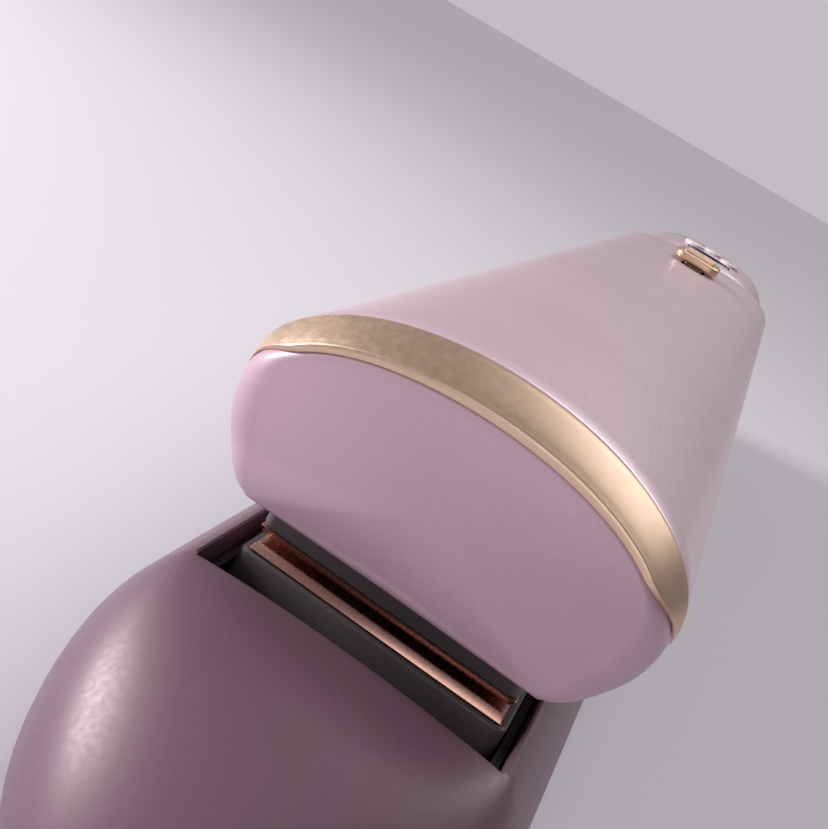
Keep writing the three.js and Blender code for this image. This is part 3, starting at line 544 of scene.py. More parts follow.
# ---- Lower arm and housing ----------------------------------------------------------------
@dataclass
class LowerArm:
    """The long lower casing: nose, heater recess, handle and the lower half of the housing."""

    lip_y: float = -115.0
    nose: float = 28.0
    housing_y: float = 121.7
    half_width: float = 21.0
    level: float = 10.0
    rim: float = 25.0
    base: float = 1.0
    recess_half: float = 15.2
    recess_floor: float = 10.9
    crown: float = 0.7
    recess_rear: float = -2.0
    deck_half: float = 14.0
    deck_floor: float = 3.2
    wall: float = 2.0
    deck_ends: tuple[float, float] = (2.0, 100.6)
    hinge: Point2 = (84.0, 32.0)
    lug_radius: float = 7.0
    lug_sides: tuple[float, float] = (14.8, 19.5)
    slot_rows: tuple[float, ...] = (14.4, 12.8, 11.2, 9.6)
    slot_ends: tuple[float, float] = (-98.0, -14.0)
    slot_step: float = 1.9
    slot: AirSlot = field(default_factory=AirSlot)

    def section(self, y: float) -> Section:
        """Returns the cross section at y, swelling into the housing and closing at the nose."""
        swell = ease(48, 98, y)
        reach = min(0.998, max(0.0, (self.lip_y - y) / self.nose))
        return Section(
            half_width=self.half_width * dome(reach, 1.6),
            level=mix(self.level, 24.5, swell),
            top=mix(21.3, 23.2, swell) * dome(reach, 1.9),
            bottom=mix(9.6, 24.1, swell) * dome(reach, 2.4),
            top_power=mix(2.2, 3.0, swell),
            bottom_power=mix(2.6, 3.0, swell),
        )

    def angles(self) -> list[float]:
        """Returns the angles of the outer wall, from the right rim, under the arm, to the left rim."""
        arm = self.section(0)
        upper = [self.rim, 24.7, 24.0, 22.8, 21.4, 20.0, 18.6, 17.2, 15.8]
        lower = [8.2, 6.8, 5.6, 4.5, 3.6, 2.8, 2.1, 1.6, 1.25]
        side = [arm.angle_at(z) for z in (*upper, *self.slot_rows, *lower)]
        under = [-math.acos((x / self.half_width) ** (arm.bottom_power / 2)) for x in (9.6, 7.2, 4.8, 2.4)]
        right = side + under
        return right + [-math.pi / 2] + [-math.pi - angle for angle in reversed(right)]

    def outer(self, y: float, angles: list[float]) -> list[Point3]:
        """Returns the outer wall's points at y, cut off softly at the rim and the flat base."""
        section = self.section(y)
        points = []
        for angle in angles:
            x, z = section.point(angle)
            ceiling, blend = self.ceiling(y)
            z = soft_min(z, ceiling, blend)
            points.append((x, y, soft_max(z, self.base, 0.5)))
        return points

    def ceiling(self, y: float) -> Point2:
        """Returns the height that the nose is rounded off at, and how softly."""
        reach = max(0.0, (self.lip_y - y) / self.nose)
        return (self.level + (self.rim - self.level) * dome(reach, 1.9), 0.8 + 22 * reach)

    def across(self, half: float) -> list[float]:
        """Returns the positions of the points that cross the arm, from left to right."""
        edge = [half + 0.3, half + 0.08, half, half - 0.12]
        inner = spread(1 - half, half - 1, 20)
        return [-x for x in edge] + inner + list(reversed(edge))

    def nose_top(self, y: float, drop: float) -> list[Point3]:
        """Returns the points across the nose's top at y.

        Args:
            y: The station.
            drop: How far the lip has rounded down there.

        Returns:
            The points, from left to right.
        """
        section = self.section(y)
        ceiling, blend = self.ceiling(y)
        crown = self.crown * section.half_width / self.half_width
        points = []
        for x in self.across(self.recess_half):
            share = x / self.half_width
            height = section.top * (1 - abs(share) ** section.top_power) ** (1 / section.top_power)
            arch = crown * max(0.0, 1 - (x / self.recess_half) ** 2)
            z = soft_min(section.level + height, ceiling + arch, blend)
            lowered = drop if abs(x) < self.recess_half else 0.0
            points.append((section.half_width * share, y, z - lowered))
        return points

    def recess(self, y: float, half: float, floor: float) -> list[Point3]:
        """Returns the points of the rims and the recess between them at y."""
        heights = [self.rim, self.rim - 0.08, self.rim - 0.3, floor]
        across = self.across(half)
        inner = len(across) - 2 * len(heights)
        levels = heights + [floor] * inner + list(reversed(heights))
        points = []
        for x, z in zip(across, levels):
            wall = math.copysign(half, x) if abs(abs(x) - half) < 0.2 and z <= self.rim - 0.3 else x
            points.append((wall, y, z))
        return points

    def lid(self, y: float, half: float) -> list[Point3]:
        """Returns the points across a closed, flat stretch of the rim."""
        return [(x, y, self.rim) for x in self.across(half)]

    def stations(self) -> list[tuple[float, list[Point3]]]:
        """Returns every station with the points that cross the arm there."""
        rows = []
        for reach in (1.0, 0.985, 0.955, 0.91, 0.85, 0.78, 0.7, 0.61, 0.52, 0.43, 0.34, 0.25, 0.17, 0.1, 0.05):
            y = self.lip_y - reach * self.nose
            rows.append((y, self.nose_top(y, 0.0)))
        for back, drop in ((0.6, 0.0), (0.35, 0.05), (0.14, 0.2), (0.03, 0.42)):
            rows.append((self.lip_y - back, self.nose_top(self.lip_y - back, drop)))
        slot_count = round((self.slot_ends[1] - self.slot_ends[0]) / self.slot_step)
        slotted = spread(self.slot_ends[0], self.slot_ends[1], slot_count)
        recessed = spread(self.lip_y, self.slot_ends[0], 5)[:-1] + slotted + [-8.0, self.recess_rear]
        rows += [(y, self.recess(y, self.recess_half, self.recess_floor)) for y in recessed]
        rows += [(self.recess_rear + 0.02, self.lid(y, self.deck_half)) for y in (self.recess_rear + 0.02,)]
        rows += [(self.deck_ends[0], self.lid(self.deck_ends[0], self.deck_half))]
        decked = spread(self.deck_ends[0] + 0.02, self.deck_ends[1], 32)
        rows += [(y, self.recess(y, self.deck_half, self.deck_floor)) for y in decked]
        covered = [self.deck_ends[1] + 0.02, 108.0, 115.0, self.housing_y]
        rows += [(y, self.lid(y, self.deck_half)) for y in covered]
        return rows

    def cavity(self) -> Form:
        """Returns the hollow of the rear housing, which holds the fan and the board."""
        form = Form()
        turns = [2 * math.pi * i / 64 for i in range(64)]
        rings = []
        for y in (102.8, 110.0, 116.0, self.housing_y + 1.0):
            section = self.section(y)
            rings.append([(x, y, z) for x, z in (section.point(turn, self.wall) for turn in turns)])
        form.loft(rings)
        return form

    def build(self) -> bpy.types.Object:
        """Builds the casing, its air slots and its two hinge lugs, and returns the piece."""
        form = Form()
        angles = self.angles()
        stations = self.stations()
        rings = [self.outer(y, angles) + top for y, top in stations]
        bands = form.loft(rings)
        self.cut_slots(form, bands, [y for y, _ in stations], len(angles))
        for side in (-1, 1):
            ends = sorted((side * self.lug_sides[0], side * self.lug_sides[1]))
            form.stack(self.lug_outline, rounded_layers(ends[0], ends[1], 0.5), Axis.X)
        # The casing takes the darker, shaded copy of the mauve paint: painted shade on the nose.
        piece = form.piece("lower_arm_casing", Finishes.SHADED_MAUVE_PAINT, inner=Finishes.BLACK_MOULDING)
        carve(piece, self.cavity())
        return settle(piece, "base", Finishes.SHADED_MAUVE_PAINT.slot, "lower_casing")

    def cut_slots(self, form: Form, bands: list[list], levels: list[float], count: int) -> None:
        """Cuts the staggered rows of air slots into both sides.

        Args:
            form: The casing's form.
            bands: Its faces, station by station.
            levels: The stations' y.
            count: How many points the outer wall has.
        """
        first_row = 9
        start = min(range(len(levels)), key=lambda i: abs(levels[i] - self.slot_ends[0]))
        end = min(range(len(levels)), key=lambda i: abs(levels[i] - self.slot_ends[1]))
        for row in range(len(self.slot_rows) - 1):
            for band in range(start + row % 2, end - 1, 2):
                for column in (first_row + row, count - 2 - first_row - row):
                    form.perforate([bands[band][column], bands[band + 1][column]], self.slot)

    def lug_outline(self, inset: float) -> list[Point2]:
        """Returns a lug's outline in Y and Z: a round head on two straight sides."""
        y, z = self.hinge
        reach = self.lug_radius - inset
        head = [math.pi * i / 24 for i in range(25)]
        points = [(y + reach * math.cos(t), z + reach * math.sin(t)) for t in head]
        foot = self.rim - 1.0
        return points + [(y - reach, foot), (y + reach, foot)]


@dataclass
class Housing:
    """The rear cover, its controls, the trim ring, the filter cap and the cord swivel."""

    arm: LowerArm
    cover_clearance: float = 16.6
    cover_base: float = 25.3
    cap_front: float = 123.9
    cap_rear: float = 141.5
    end_y: float = 143.0
    axis_z: float = 24.5
    top_z: float = 47.7
    display: tuple[float, float, float] = (5.7, 98.4, 104.4)
    buttons: tuple[tuple[str, float, float], ...] = (
        ("temp_down", -5.0, 109.0), ("temp_up", 5.0, 109.0), ("power", 0.0, 115.0))
    button_radius: float = 2.6

    def cover_foot(self, y: float) -> float:
        """Returns the lowest point of the cover at y, which follows the upper arm's swing."""
        hinge_y, hinge_z = self.arm.hinge
        back = y - hinge_y
        if back >= self.cover_clearance:
            return self.cover_base
        return hinge_z + math.sqrt(self.cover_clearance ** 2 - back ** 2)

    def build_cover(self) -> None:
        """Builds the cover with its display opening and its button wells."""
        hinge_y = self.arm.hinge[0]
        turns = [math.radians(a) for a in (18, 22, 27, 33, 40, 47, 54, 62, 70, 79)]
        stations = [hinge_y + self.cover_clearance * math.sin(t) for t in turns]
        stations += [hinge_y + self.cover_clearance - 0.02, hinge_y + self.cover_clearance]
        stations += spread(102.5, self.arm.housing_y - 0.3, 8) + [self.arm.housing_y]
        rings = []
        for y in stations:
            section = self.arm.section(y)
            inset = 0.3 if y == self.arm.housing_y else 0.0
            start = section.angle_at(self.cover_foot(y))
            rim = [section.point(angle, inset) for angle in spread(start, math.pi - start, 56)]
            foot, reach = rim[0][1], 0.9 * rim[0][0]
            rings.append([(x, y, z) for x, z in rim] + [(x, y, foot) for x in spread(-reach, reach, 12)])
        form = Form()
        form.loft(rings)
        cover = form.piece("rear_cover_shell", Finishes.PEARL_PAINT)
        half, front, rear = self.display
        cutter = Form()
        box = rounded_box((-half - 0.3, front - 0.3), (half + 0.3, rear + 0.3), 1.2)
        cutter.stack(box, [(self.top_z - 2.6, 0.0), (self.top_z + 3, 0.0)], Axis.Z)
        for _, x, y in self.buttons:
            well = circle((x, y), self.button_radius + 0.3)
            cutter.stack(well, [(self.top_z - 3.4, 0.0), (self.top_z + 3, 0.0)], Axis.Z)
        carve(cover, self.arm.cavity())
        carve(cover, cutter)
        settle(cover, "base", Finishes.PEARL_PAINT.slot, "rear_cover")

    def build_controls(self) -> None:
        """Builds the display window and the three buttons."""
        half, front, rear = self.display
        form = Form()
        form.stack(rounded_box((-half, front), (half, rear), 1.0), rounded_layers(45.9, 47.55, 0.3), Axis.Z)
        lens = form.piece("display_window", Finishes.SMOKED_ACRYLIC)
        settle(lens, "base", Finishes.SMOKED_ACRYLIC.slot, "display_lens")
        for name, x, y in self.buttons:
            form = Form()
            form.stack(circle((x, y), self.button_radius), rounded_layers(44.0, 48.3, 0.45), Axis.Z)
            form.stack(circle((x, y), self.button_radius + 0.7), rounded_layers(43.6, 44.7, 0.15, 2), Axis.Z)
            self.mark_button(form, name, x, y)
            button = form.piece(f"{name}_key", Finishes.BUTTON_ABS)
            settle(button, name, Finishes.BUTTON_ABS.slot, f"{name}_button")

    def mark_button(self, form: Form, name: str, x: float, y: float) -> None:
        """Adds a raised bar or cross to a button's face."""
        low, high = 48.2, 48.45
        bars = [(1.2, 0.22)] if name == "temp_down" else [(1.2, 0.22), (0.22, 1.2)]
        if name == "power":
            bars = [(0.2, 0.9)]
        for half_x, half_y in bars:
            outline = rounded_box((x - half_x, y - half_y), (x + half_x, y + half_y), 0.15, 3)
            form.stack(outline, rounded_layers(low, high, 0.08, 2), Axis.Z)

    def build_trim(self) -> None:
        """Builds the thin gold ring between the casing and the filter cap."""
        section = self.arm.section(self.arm.housing_y)
        turns = [2 * math.pi * i / 96 for i in range(96)]
        layers = [(122.0, 2.0), (122.0, 0.15), (122.15, 0.0), (123.45, 0.0), (123.6, 0.15), (123.6, 2.0)]
        rings = []
        for y, inset in layers:
            points = [section.point(turn, inset) for turn in turns]
            rings.append([(x, y, max(z, self.arm.base)) for x, z in points])
        form = Form()
        form.loft(rings)
        ring = form.piece("rear_trim_ring", Finishes.CHAMPAGNE_GOLD)
        settle(ring, "base", Finishes.CHAMPAGNE_GOLD.slot, "rear_trim")

    def build_cap(self) -> None:
        """Builds the rounded filter cap with its ring of air slots."""
        section = self.arm.section(self.arm.housing_y)
        turns = [2 * math.pi * i / 96 for i in range(96)]
        length = self.end_y + 2 - self.arm.housing_y
        rings = []
        reaches = [math.sin(math.pi / 2 * i / 18) for i in range(19)]
        for share in reaches:
            y = mix(self.cap_front, self.cap_rear, share)
            close = dome((y - self.arm.housing_y) / length, 2.6)
            ring = []
            for turn in turns:
                x, z = section.point(turn)
                ring.append((x * close, y, max(self.axis_z + (z - section.level) * close, self.arm.base)))
            rings.append(ring)
        form = Form()
        form.loft(rings)
        cap = form.piece("filter_cap_shell", Finishes.PEARL_PAINT, inner=Finishes.BLACK_MOULDING)
        cutter = Form()
        hole = circle((0.0, self.axis_z), 7.1)
        cutter.stack(hole, [(self.cap_rear - 4, 0.0), (self.end_y + 3, 0.0)], Axis.Y)
        for index in range(24):
            turn = Matrix.Rotation(2 * math.pi * index / 24, 3, "Y")
            outline = rounded_box((-0.45, 8.4), (0.45, 12.6), 0.44, 4)
            rings = []
            for y in (self.cap_rear - 1.6, self.end_y + 3):
                spun = [turn @ Vector((u, y, v)) for u, v in outline(0.0)]
                rings.append([(p.x, p.y, p.z + self.axis_z) for p in spun])
            cutter.loft(rings)
        carve(cap, cutter)
        settle(cap, "filter", Finishes.PEARL_PAINT.slot, "filter_cap")

    def build_swivel(self) -> None:
        """Builds the cord swivel's ribbed rubber sleeve."""
        profile = [(3.7, 116.2), (8.3, 116.2), (8.3, 118.1), (6.5, 118.1), (6.5, 139.6)]
        for rib in range(3):
            y = 139.8 + rib * 0.95
            profile += [(6.5, y), (6.6, y + 0.1), (6.6, y + 0.5), (6.3, y + 0.65)]
        profile += [(6.1, 142.8), (5.8, self.end_y), (4.1, self.end_y), (3.7, 142.7)]
        turns = [2 * math.pi * i / 56 for i in range(56)]
        rows = [[(r * math.cos(t), y, self.axis_z + r * math.sin(t)) for t in turns] for r, y in profile]
        form = Form()
        form.loft(rows + [rows[0]], capped=False)
        sleeve = form.piece("cord_swivel_sleeve", Finishes.SILICONE, sharp=45)
        settle(sleeve, "swivel", Finishes.SILICONE.slot, "cord_swivel")

    def build(self) -> None:
        """Builds the whole housing."""
        self.build_cover()
        self.build_controls()
        self.build_trim()
        self.build_cap()
        self.build_swivel()


# ---- Upper arm ----------------------------------------------------------------------------
@dataclass
class UpperArm:
    """The hinged upper arm: casing, gold trim band and tip cap."""

    lip_y: float = -115.0
    casing_front: float = -111.0
    handle_y: float = -1.0
    arm_flat: float = 31.4
    grip_flat: float = 28.0
    recess_half: float = 13.6
    deck_half: float = 12.0
    deck_rear: float = 77.3
    hinge: Point2 = (84.0, 32.0)
    knuckle: float = 16.0
    tilt: float = 16.0
    face_half: float = 18.1
    face_top: float = 7.6
    band_depth: float = 4.0
    band_end: float = 40.2
    taper_below: float = 0.8
    taper_above: float = 6.2
    hub_z: float = 39.4
    face_dome: float = 1.3

    def section(self, y: float) -> Section:
        """Returns the cross section at y."""
        share = max(0.0, (y - self.lip_y) / (self.hinge[0] - self.lip_y))
        return Section(
            half_width=mix(20.1, 21.0, share),
            level=mix(41.0, 38.0, share),
            top=mix(10.6, 9.7, share),
            bottom=12.0,
            top_power=mix(2.0, 2.6, share),
            bottom_power=2.6,
        )

    def angles(self) -> list[float]:
        """Returns the angles of the outer wall, from the right corner over the top to the left."""
        start = self.section(self.lip_y).angle_at(self.arm_flat)
        return spread(start, math.pi - start, 72)

    def limits(self, y: float) -> Point2:
        """Returns the flat underside's height and the greatest height at y."""
        hinge_y, hinge_z = self.hinge
        back = y - hinge_y
        if back > 0:
            foot = hinge_z + back * math.tan(math.radians(self.tilt))
            return (foot, hinge_z + math.sqrt(max(0.0, self.knuckle ** 2 - back ** 2)))
        if y < self.handle_y:
            return (self.arm_flat, 60.0)
        return (mix(self.grip_flat, hinge_z, ease(-4, 0, back)), 60.0)

    def ring(self, y: float, half: float, ceiling: float | None) -> list[Point3]:
        """Returns the casing's closed outline at y.

        Args:
            y: The station.
            half: Half the width of the recess in the underside.
            ceiling: The height of the recess's inner face, or None where it is closed.

        Returns:
            The points, over the top and back along the underside.
        """
        section = self.section(y)
        foot, head = self.limits(y)
        points = []
        for angle in self.angles():
            x, z = section.point(angle)
            z = soft_min(z, head, 0.6)
            points.append((x, y, soft_max(z, foot, 0.6) if z < foot + 3 else z))
        edge = [(half + 0.3, foot), (half + 0.08, foot + 0.08), (half, foot + 0.3), (half, ceiling or foot)]
        if ceiling is None:
            edge = [(half + 0.3 - 0.1 * i, foot) for i in range(4)]
        inner = [(x, ceiling or foot) for x in spread(1 - half, half - 1, 12)]
        under = [(-x, z) for x, z in edge] + inner + list(reversed(edge))
        return points + [(x, y, z) for x, z in under]

    def build_casing(self) -> None:
        """Builds the upper casing with its lug notches and the lock's slot."""
        rings = []
        for back, inset_y in ((0.0, 0.3), (0.08, 0.1), (0.3, 0.0)):
            ring = self.ring(self.casing_front + back, self.recess_half, 37.0)
            hub = Vector((0.0, 0.0, 40.0))
            scale = 1 - inset_y / 20
            rings.append([(x * scale, y, hub.z + (z - hub.z) * scale if z > 32 else z) for x, y, z in ring])
        rings += [self.ring(y, self.recess_half, 37.0) for y in spread(-108, self.handle_y - 1.02, 26)]
        rings += [self.ring(self.handle_y - 1, self.recess_half, None)]
        rings += [self.ring(self.handle_y + 0.02, self.deck_half, None), self.ring(2.0, self.deck_half, None)]
        rings += [self.ring(y, self.deck_half, 30.3) for y in spread(2.02, self.deck_rear, 20)]
        rings += [self.ring(y, self.deck_half, None) for y in spread(self.deck_rear + 0.02, self.hinge[0], 6)]
        for angle in (6, 14, 22, 30, 38, 46, 53, 60, 66, 71):
            rings.append(self.ring(self.hinge[0] + self.knuckle * math.sin(math.radians(angle)), 8.0, None))
        form = Form()
        form.loft(rings)
        casing = form.piece("upper_arm_casing", Finishes.PEARL_PAINT)
        cutter = Form()
        for side in (-1, 1):
            ends = sorted((side * 14.3, side * 26))
            cutter.stack(self.notch_outline, [(ends[0], 0.0), (ends[1], 0.0)], Axis.X)
        slot = rounded_box((-2.7, 47.6), (2.7, 57.4), 2.5)
        cutter.stack(slot, [(42.0, 0.0), (56.0, 0.0)], Axis.Z)
        carve(casing, cutter)
        settle(casing, "upper_arm", Finishes.PEARL_PAINT.slot, "upper_casing")

    def notch_outline(self, inset: float) -> list[Point2]:
        """Returns the outline, in Y and Z, of the notch round a hinge lug."""
        y, z = self.hinge
        reach = 7.6 - inset
        head = [math.pi * i / 28 for i in range(29)]
        points = [(y + reach * math.cos(t), z + reach * math.sin(t)) for t in head]
        return points + [(y - reach, z - 12), (y + reach, z - 12)]

    def edge(self, angle: float) -> tuple[Point2, Point2, float]:
        """Returns where the cap's edge and the casing's outline lie at an angle.

        Args:
            angle: The angle from the right-hand side.

        Returns:
            The cap's edge, the casing's outline, and how far the edge has moved out to it: 0 along
            the gold band, 1 below the band's ends.
        """
        tip = self.section(self.lip_y)
        casing = self.section(self.casing_front)
        face = Section(self.face_half, tip.level, self.face_top, tip.bottom, tip.top_power, tip.bottom_power)
        inner, outer = face.point(angle), casing.point(angle)
        share = 1 - ease(self.band_end - self.taper_below, self.band_end + self.taper_above, outer[1])
        x, z = (mix(a, b, share) for a, b in zip(inner, outer))
        return (x, soft_max(z, self.arm_flat, 0.5)), (outer[0], soft_max(outer[1], self.arm_flat, 0.5)), share

    def build_band(self) -> None:
        """Builds the gold band: a crescent-shaped chamfer over the cap, with a narrow front rim."""
        casing = self.section(self.casing_front)
        start = casing.angle_at(self.band_end + 0.15)
        # Share of the way from the cap's edge to the casing's, and share of the band's depth.
        rim = [(-0.12, 0.4), (-0.12, 0.05), (-0.09, 0.01), (-0.05, 0.0), (0.16, 0.0), (0.19, 0.015)]
        slope = [(share, 0.05 + 0.9 * ((share - 0.22) / 0.75) ** 1.1) for share in spread(0.22, 0.95, 8)]
        back = [(0.985, 0.975), (1.0, 0.99), (0.985, 1.0), (0.9, 1.01), (-0.12, 1.01)]
        rings = []
        for angle in spread(start, math.pi - start, 112):
            inner, outer, share = self.edge(angle)
            front = (self.band_depth - 0.6) * share
            ring = []
            for across, depth in rim + slope + back:
                x, z = (mix(a, b, across) for a, b in zip(inner, outer))
                ring.append((x, self.lip_y + mix(front, self.band_depth - 0.5, depth), z))
            rings.append(ring)
        form = Form()
        form.loft(rings)
        band = form.piece("gold_trim_band", Finishes.CHAMPAGNE_GOLD, sharp=40)
        settle(band, "upper_arm", Finishes.CHAMPAGNE_GOLD.slot, "trim_band")

    def build_cap(self) -> None:
        """Builds the tip cap: a domed D, tight to the band above and rounded into its cheeks below."""
        casing = self.section(self.casing_front)
        start = casing.angle_at(self.arm_flat + 0.02)
        hub = Vector((0.0, 0.0, self.hub_z))
        outline = []
        for angle in spread(start, math.pi - start, 144):
            (x, z), _, share = self.edge(angle)
            round_off = mix(0.7, mix(1.3, 3.3, ease(self.arm_flat, self.arm_flat + 3.5, z)), share)
            outline.append((Vector((x, 0.0, z)), round_off, 0.15))
        left, right = outline[-1][0].x, outline[0][0].x
        outline += [(Vector((x, 0.0, self.arm_flat)), 1.3, 0.0) for x in spread(left + 0.5, right - 0.5, 32)]
        rear = self.band_depth - 0.4
        rings = []
        edges = [(rear, 0.0)] + [(None, math.pi / 2 * i / 8) for i in range(9)]
        for fixed, turn in edges:
            ring = []
            for point, round_off, gap in outline:
                depth = fixed if fixed is not None else round_off * (1 - math.sin(turn))
                inset = gap + (0.0 if fixed is not None else round_off * (1 - math.cos(turn)))
                placed = point + (hub - point).normalized() * inset
                ring.append((placed.x, self.lip_y + depth, placed.z))
            rings.append(ring)
        face = [Vector(point) for point in rings[-1]]
        for scale in (0.96, 0.91, 0.85, 0.78, 0.7, 0.6, 0.5, 0.39, 0.27, 0.15, 0.04):
            rise = self.face_dome * (1 - scale ** 2.2)
            rings.append([(p.x * scale, p.y - rise, hub.z + (p.z - hub.z) * scale) for p in face])
        form = Form()
        form.loft(rings)
        # The cap takes the lit copy of the mauve paint: painted light on its face.
        cap = form.piece("tip_face_cap", Finishes.LIT_MAUVE_PAINT, sharp=60)
        settle(cap, "upper_arm", Finishes.LIT_MAUVE_PAINT.slot, "tip_cap")

    def build(self) -> None:
        """Builds the whole upper arm."""
        self.build_casing()
        self.build_band()
        self.build_cap()


# ---- Heaters ------------------------------------------------------------------------------
@dataclass
class Heater:
    """A floating carrier and the heater plate on it, in one of the arms."""

    arm: str
    half_width: float
    mirror: float = 52.1
    front: float = -109.5
    rear: float = -4.0
    plate_half: float = 13.2

    def level(self, z: float) -> float:
        """Returns a height of the lower module, turned over for the upper arm."""
        return self.mirror - z if self.arm == "upper" else z

    def turned(self, layers: list[Layer]) -> list[Layer]:
        """Returns the layers of a stack at this module's heights."""
        return [(self.level(height), inset) for height, inset in layers]

    def build(self) -> None:
        """Builds the carrier and the plate."""
        form = Form()
        body = rounded_box((-self.half_width, self.front), (self.half_width, self.rear), 1.1)
        layers = [(19.0, 0.25), (19.3, 0.0), (24.25, 0.0), (24.45, 0.08), (24.6, 0.3)]
        form.stack(body, self.turned(layers), Axis.Z)
        carrier = form.piece(f"{self.arm}_carrier_frame", Finishes.GREY_NYLON)
        settle(carrier, f"{self.arm}_heater", Finishes.GREY_NYLON.slot, f"{self.arm}_carrier")
        form = Form()
        # Mitred corners: a square outline whose chamfer narrows towards the working face.
        face = rounded_box((-self.plate_half, self.front + 0.4), (self.plate_half, self.rear - 0.4), 0.12, 2)
        layers = [(24.7, 0.1), (24.76, 0.0), (24.82, 0.0), (25.5, 0.36), (25.58, 0.44), (25.6, 0.6)]
        form.stack(face, self.turned(layers), Axis.Z)
        plate = form.piece(f"{self.arm}_heater_plate", Finishes.COATED_ALUMINIUM, sharp=20)
        settle(plate, f"{self.arm}_heater", Finishes.COATED_ALUMINIUM.slot, f"{self.arm}_plate")


@dataclass
class Fittings:
    """Hinge caps, lock slider and rest pads."""

    hinge: Point2 = (84.0, 32.0)
    cap_radius: float = 5.0
    cap_sides: Point2 = (19.8, 20.9)
    pad_half: Point2 = (8.5, 13.0)
    pad_places: tuple[tuple[str, float], ...] = (("front", -78.0), ("rear", 78.0))

    def build_caps(self) -> None:
        """Builds the two gold hinge caps, each with a shallow dish."""
        for name, side in (("left", -1), ("right", 1)):
            inner, outer = (side * value for value in self.cap_sides)
            step = side * 0.01
            layers = [(inner - side * 0.2, 0.0), (outer - side * 0.35, 0.0), (outer - side * 0.1, 0.1),
                      (outer, 0.35), (outer, 0.9), (outer - side * 0.12, 1.15), (outer - side * 0.2, 2.0),
                      (outer - side * 0.24 + step, 4.6)]
            form = Form()
            form.stack(circle(self.hinge, self.cap_radius), layers, Axis.X)
            cap = form.piece(f"hinge_disc_{name}", Finishes.CHAMPAGNE_GOLD)
            settle(cap, "base", Finishes.CHAMPAGNE_GOLD.slot, f"hinge_cap_{name}")

    def build_slider(self) -> None:
        """Builds the lock slider: a ribbed thumb pad, its post and its hook."""
        form = Form()
        form.stack(rounded_box((-5.0, 50.0), (5.0, 61.0), 2.2), rounded_layers(48.9, 50.6, 0.5), Axis.Z)
        for rib in range(4):
            y = 52.4 + rib * 2.0
            form.stack(rounded_box((-3.4, y - 0.4), (3.4, y + 0.4), 0.38), rounded_layers(50.3, 51.1, 0.3, 3), Axis.Z)
        form.stack(rounded_box((-2.2, 54.0), (2.2, 57.0), 0.4), [(18.0, 0.2), (18.2, 0.0), (49.2, 0.0)], Axis.Z)
        form.stack(rounded_box((-2.2, 50.5), (2.2, 54.3), 0.4), rounded_layers(18.0, 20.2, 0.2, 2), Axis.Z)
        slider = form.piece("lock_thumb_slider", Finishes.GOLD_PAINT)
        settle(slider, "lock", Finishes.GOLD_PAINT.slot, "lock_slider")

    def build_pads(self) -> None:
        """Builds the two silicone rest pads under the curler."""
        for name, y in self.pad_places:
            low = (-self.pad_half[0], y - self.pad_half[1])
            high = (self.pad_half[0], y + self.pad_half[1])
            form = Form()
            form.stack(rounded_box(low, high, 4.0), [(0.0, 0.3), (0.1, 0.08), (0.3, 0.0), (1.02, 0.0)], Axis.Z)
            pad = form.piece(f"rest_pad_{name}_skin", Finishes.SILICONE)
            settle(pad, "base", Finishes.SILICONE.slot, f"rest_pad_{name}")

    def build(self) -> None:
        """Builds every fitting."""
        self.build_caps()
        self.build_slider()
        self.build_pads()


class Internals:
    """The construction nodes that keep their own shape and only get a finish."""

    by_slot: dict[str, Finish] = {
        "black_moulding": Finishes.BLACK_MOULDING,
        "steel": Finishes.PLAIN_STEEL,
        "ceramic": Finishes.ALUMINA,
        "circuit_board": Finishes.CIRCUIT_BOARD,
        "wire_sleeve": Finishes.WIRE_SLEEVE,
        # Mauve nodes take the darker copy of the paint, which carries painted shade.
        "mauve_shell": Finishes.SHADED_MAUVE_PAINT,
        "pearl_shell": Finishes.PEARL_PAINT,
        "rose_gold": Finishes.CHAMPAGNE_GOLD,
        "gold_plastic": Finishes.GOLD_PAINT,
        "heater_plate": Finishes.COATED_ALUMINIUM,
        "grey_carrier": Finishes.GREY_NYLON,
        "rubber": Finishes.SILICONE,
        "display_window": Finishes.SMOKED_ACRYLIC,
        "button_plastic": Finishes.BUTTON_ABS,
    }

    def dress(self) -> None:
        """Gives every node that still shows its finish."""
        slots = {part["node"]: part["material_slot"] for part in frame["record"]["subparts"]}
        for name, node in frame["nodes"].items():
            if node.hide_render:
                continue
            material = self.by_slot[slots[name]].material()
            node.data.materials.clear()
            node.data.materials.append(material)
            LOG.info("%s keeps its shape, finished as %s", name, material.name)


# ---- Studio -------------------------------------------------------------------------------
@dataclass(frozen=True)
class Softbox:
    """A rectangular studio light."""

    name: str
    place: Point3
    aim: Point3
    size: Point2
    power: float
    colour: str = "#FFFFFF"

    def build(self) -> None:
        """Adds the light."""
        data = bpy.data.lights.new(self.name, "AREA")
        data.shape = "RECTANGLE"
        data.size, data.size_y = (value * MM for value in self.size)
        data.energy = self.power
        data.color = linear(self.colour)[:3]
        lamp = bpy.data.objects.new(self.name, data)
        lamp.location = Vector(self.place) * MM
        lamp.rotation_euler = (Vector(self.aim) - Vector(self.place)).to_track_quat("-Z", "Y").to_euler()
        bpy.context.scene.collection.objects.link(lamp)


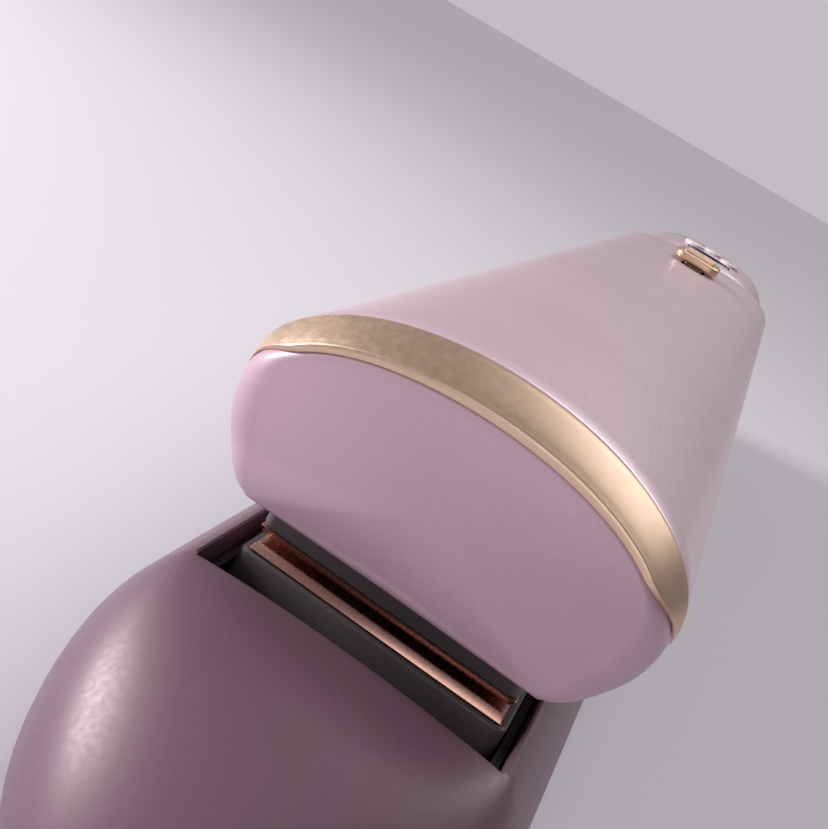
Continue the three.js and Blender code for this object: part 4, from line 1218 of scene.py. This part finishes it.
@dataclass
class Studio:
    """Camera, floor, world and lights."""

    eye: Point3 = (9.2, -196.0, 73.8)
    forward: Point3 = (-0.1676, 0.9307, -0.3251)
    up: Point3 = (-0.5456, 0.1871, 0.8169)
    lens: float = 50.0
    sensor: float = 36.0
    floor_half: float = 4000.0
    floor_colour: str = "#C8C4C9"
    world_colour: str = "#C9C5CA"
    world_strength: float = 0.3
    horizon_colour: str = "#C2BDC3"
    sky_light: float = 2.0
    sky_spread: float = 50.0
    sky_from: Point3 = (180.0, 420.0, 560.0)
    lights: tuple[Softbox, ...] = (
        Softbox("key", (-590, -200, 240), (0, -110, 35), (260, 260), 6.0),
        Softbox("front", (120, -620, 240), (0, -110, 30), (360, 360), 0.7),
    )

    def build_camera(self) -> None:
        """Adds the camera, rolled about its line of sight."""
        data = bpy.data.cameras.new("camera")
        data.lens = self.lens
        data.sensor_width = self.sensor
        data.clip_start = 0.001
        data.clip_end = 20
        camera = bpy.data.objects.new("camera", data)
        look = Vector(self.forward).normalized()
        right = look.cross(Vector(self.up)).normalized()
        upright = right.cross(look)
        basis = Matrix((right, upright, -look)).transposed()
        camera.matrix_world = Matrix.Translation(Vector(self.eye) * MM) @ basis.to_4x4()
        bpy.context.scene.collection.objects.link(camera)
        bpy.context.scene.camera = camera

    def build_floor(self) -> None:
        """Adds the pale floor."""
        form = Form()
        half = self.floor_half
        form.mesh.faces.new(form.ring([(-half, -half, 0), (half, -half, 0), (half, half, 0), (-half, half, 0)]))
        paper = Finish("matt_backdrop_paper", "", self.floor_colour, self.floor_colour, Pattern.MOULDED, 0.9)
        form.piece("floor", paper)

    def build_world(self) -> None:
        """Sets the even light of the room."""
        world = bpy.data.worlds.new("room")
        world.use_nodes = True
        world.node_tree.nodes.clear()
        tree = world.node_tree
        light = add_node(tree, "ShaderNodeBackground",
                         {"Color": linear(self.world_colour), "Strength": self.world_strength}, {})
        seen = add_node(tree, "ShaderNodeBackground", {"Color": linear(self.horizon_colour)}, {})
        path = add_node(tree, "ShaderNodeLightPath", {}, {})
        both = add_node(tree, "ShaderNodeMixShader", {},
                        {0: path.outputs["Is Camera Ray"], 1: light.outputs[0], 2: seen.outputs[0]})
        add_node(tree, "ShaderNodeOutputWorld", {}, {"Surface": both.outputs[0]})
        bpy.context.scene.world = world

    def build_sky(self) -> None:
        """Adds the broad, even light from above and behind."""
        data = bpy.data.lights.new("sky", "SUN")
        data.energy = self.sky_light
        data.angle = math.radians(self.sky_spread)
        lamp = bpy.data.objects.new("sky", data)
        lamp.rotation_euler = (-Vector(self.sky_from)).to_track_quat("-Z", "Y").to_euler()
        bpy.context.scene.collection.objects.link(lamp)

    def build(self) -> None:
        """Builds the whole studio."""
        bpy.context.scene.view_settings.view_transform = "Standard"
        self.build_camera()
        self.build_floor()
        self.build_world()
        self.build_sky()
        for light in self.lights:
            light.build()


def main() -> None:
    """Builds the curler and the studio."""
    logging.basicConfig(level=logging.INFO, format="%(message)s")
    Studio().build()
    lower = LowerArm()
    lower.build()
    Housing(lower).build()
    UpperArm().build()
    Heater("lower", 13.9).build()
    Heater("upper", 13.2).build()
    Fittings().build()
    Internals().dress()


if __name__ == "__main__":
    main()
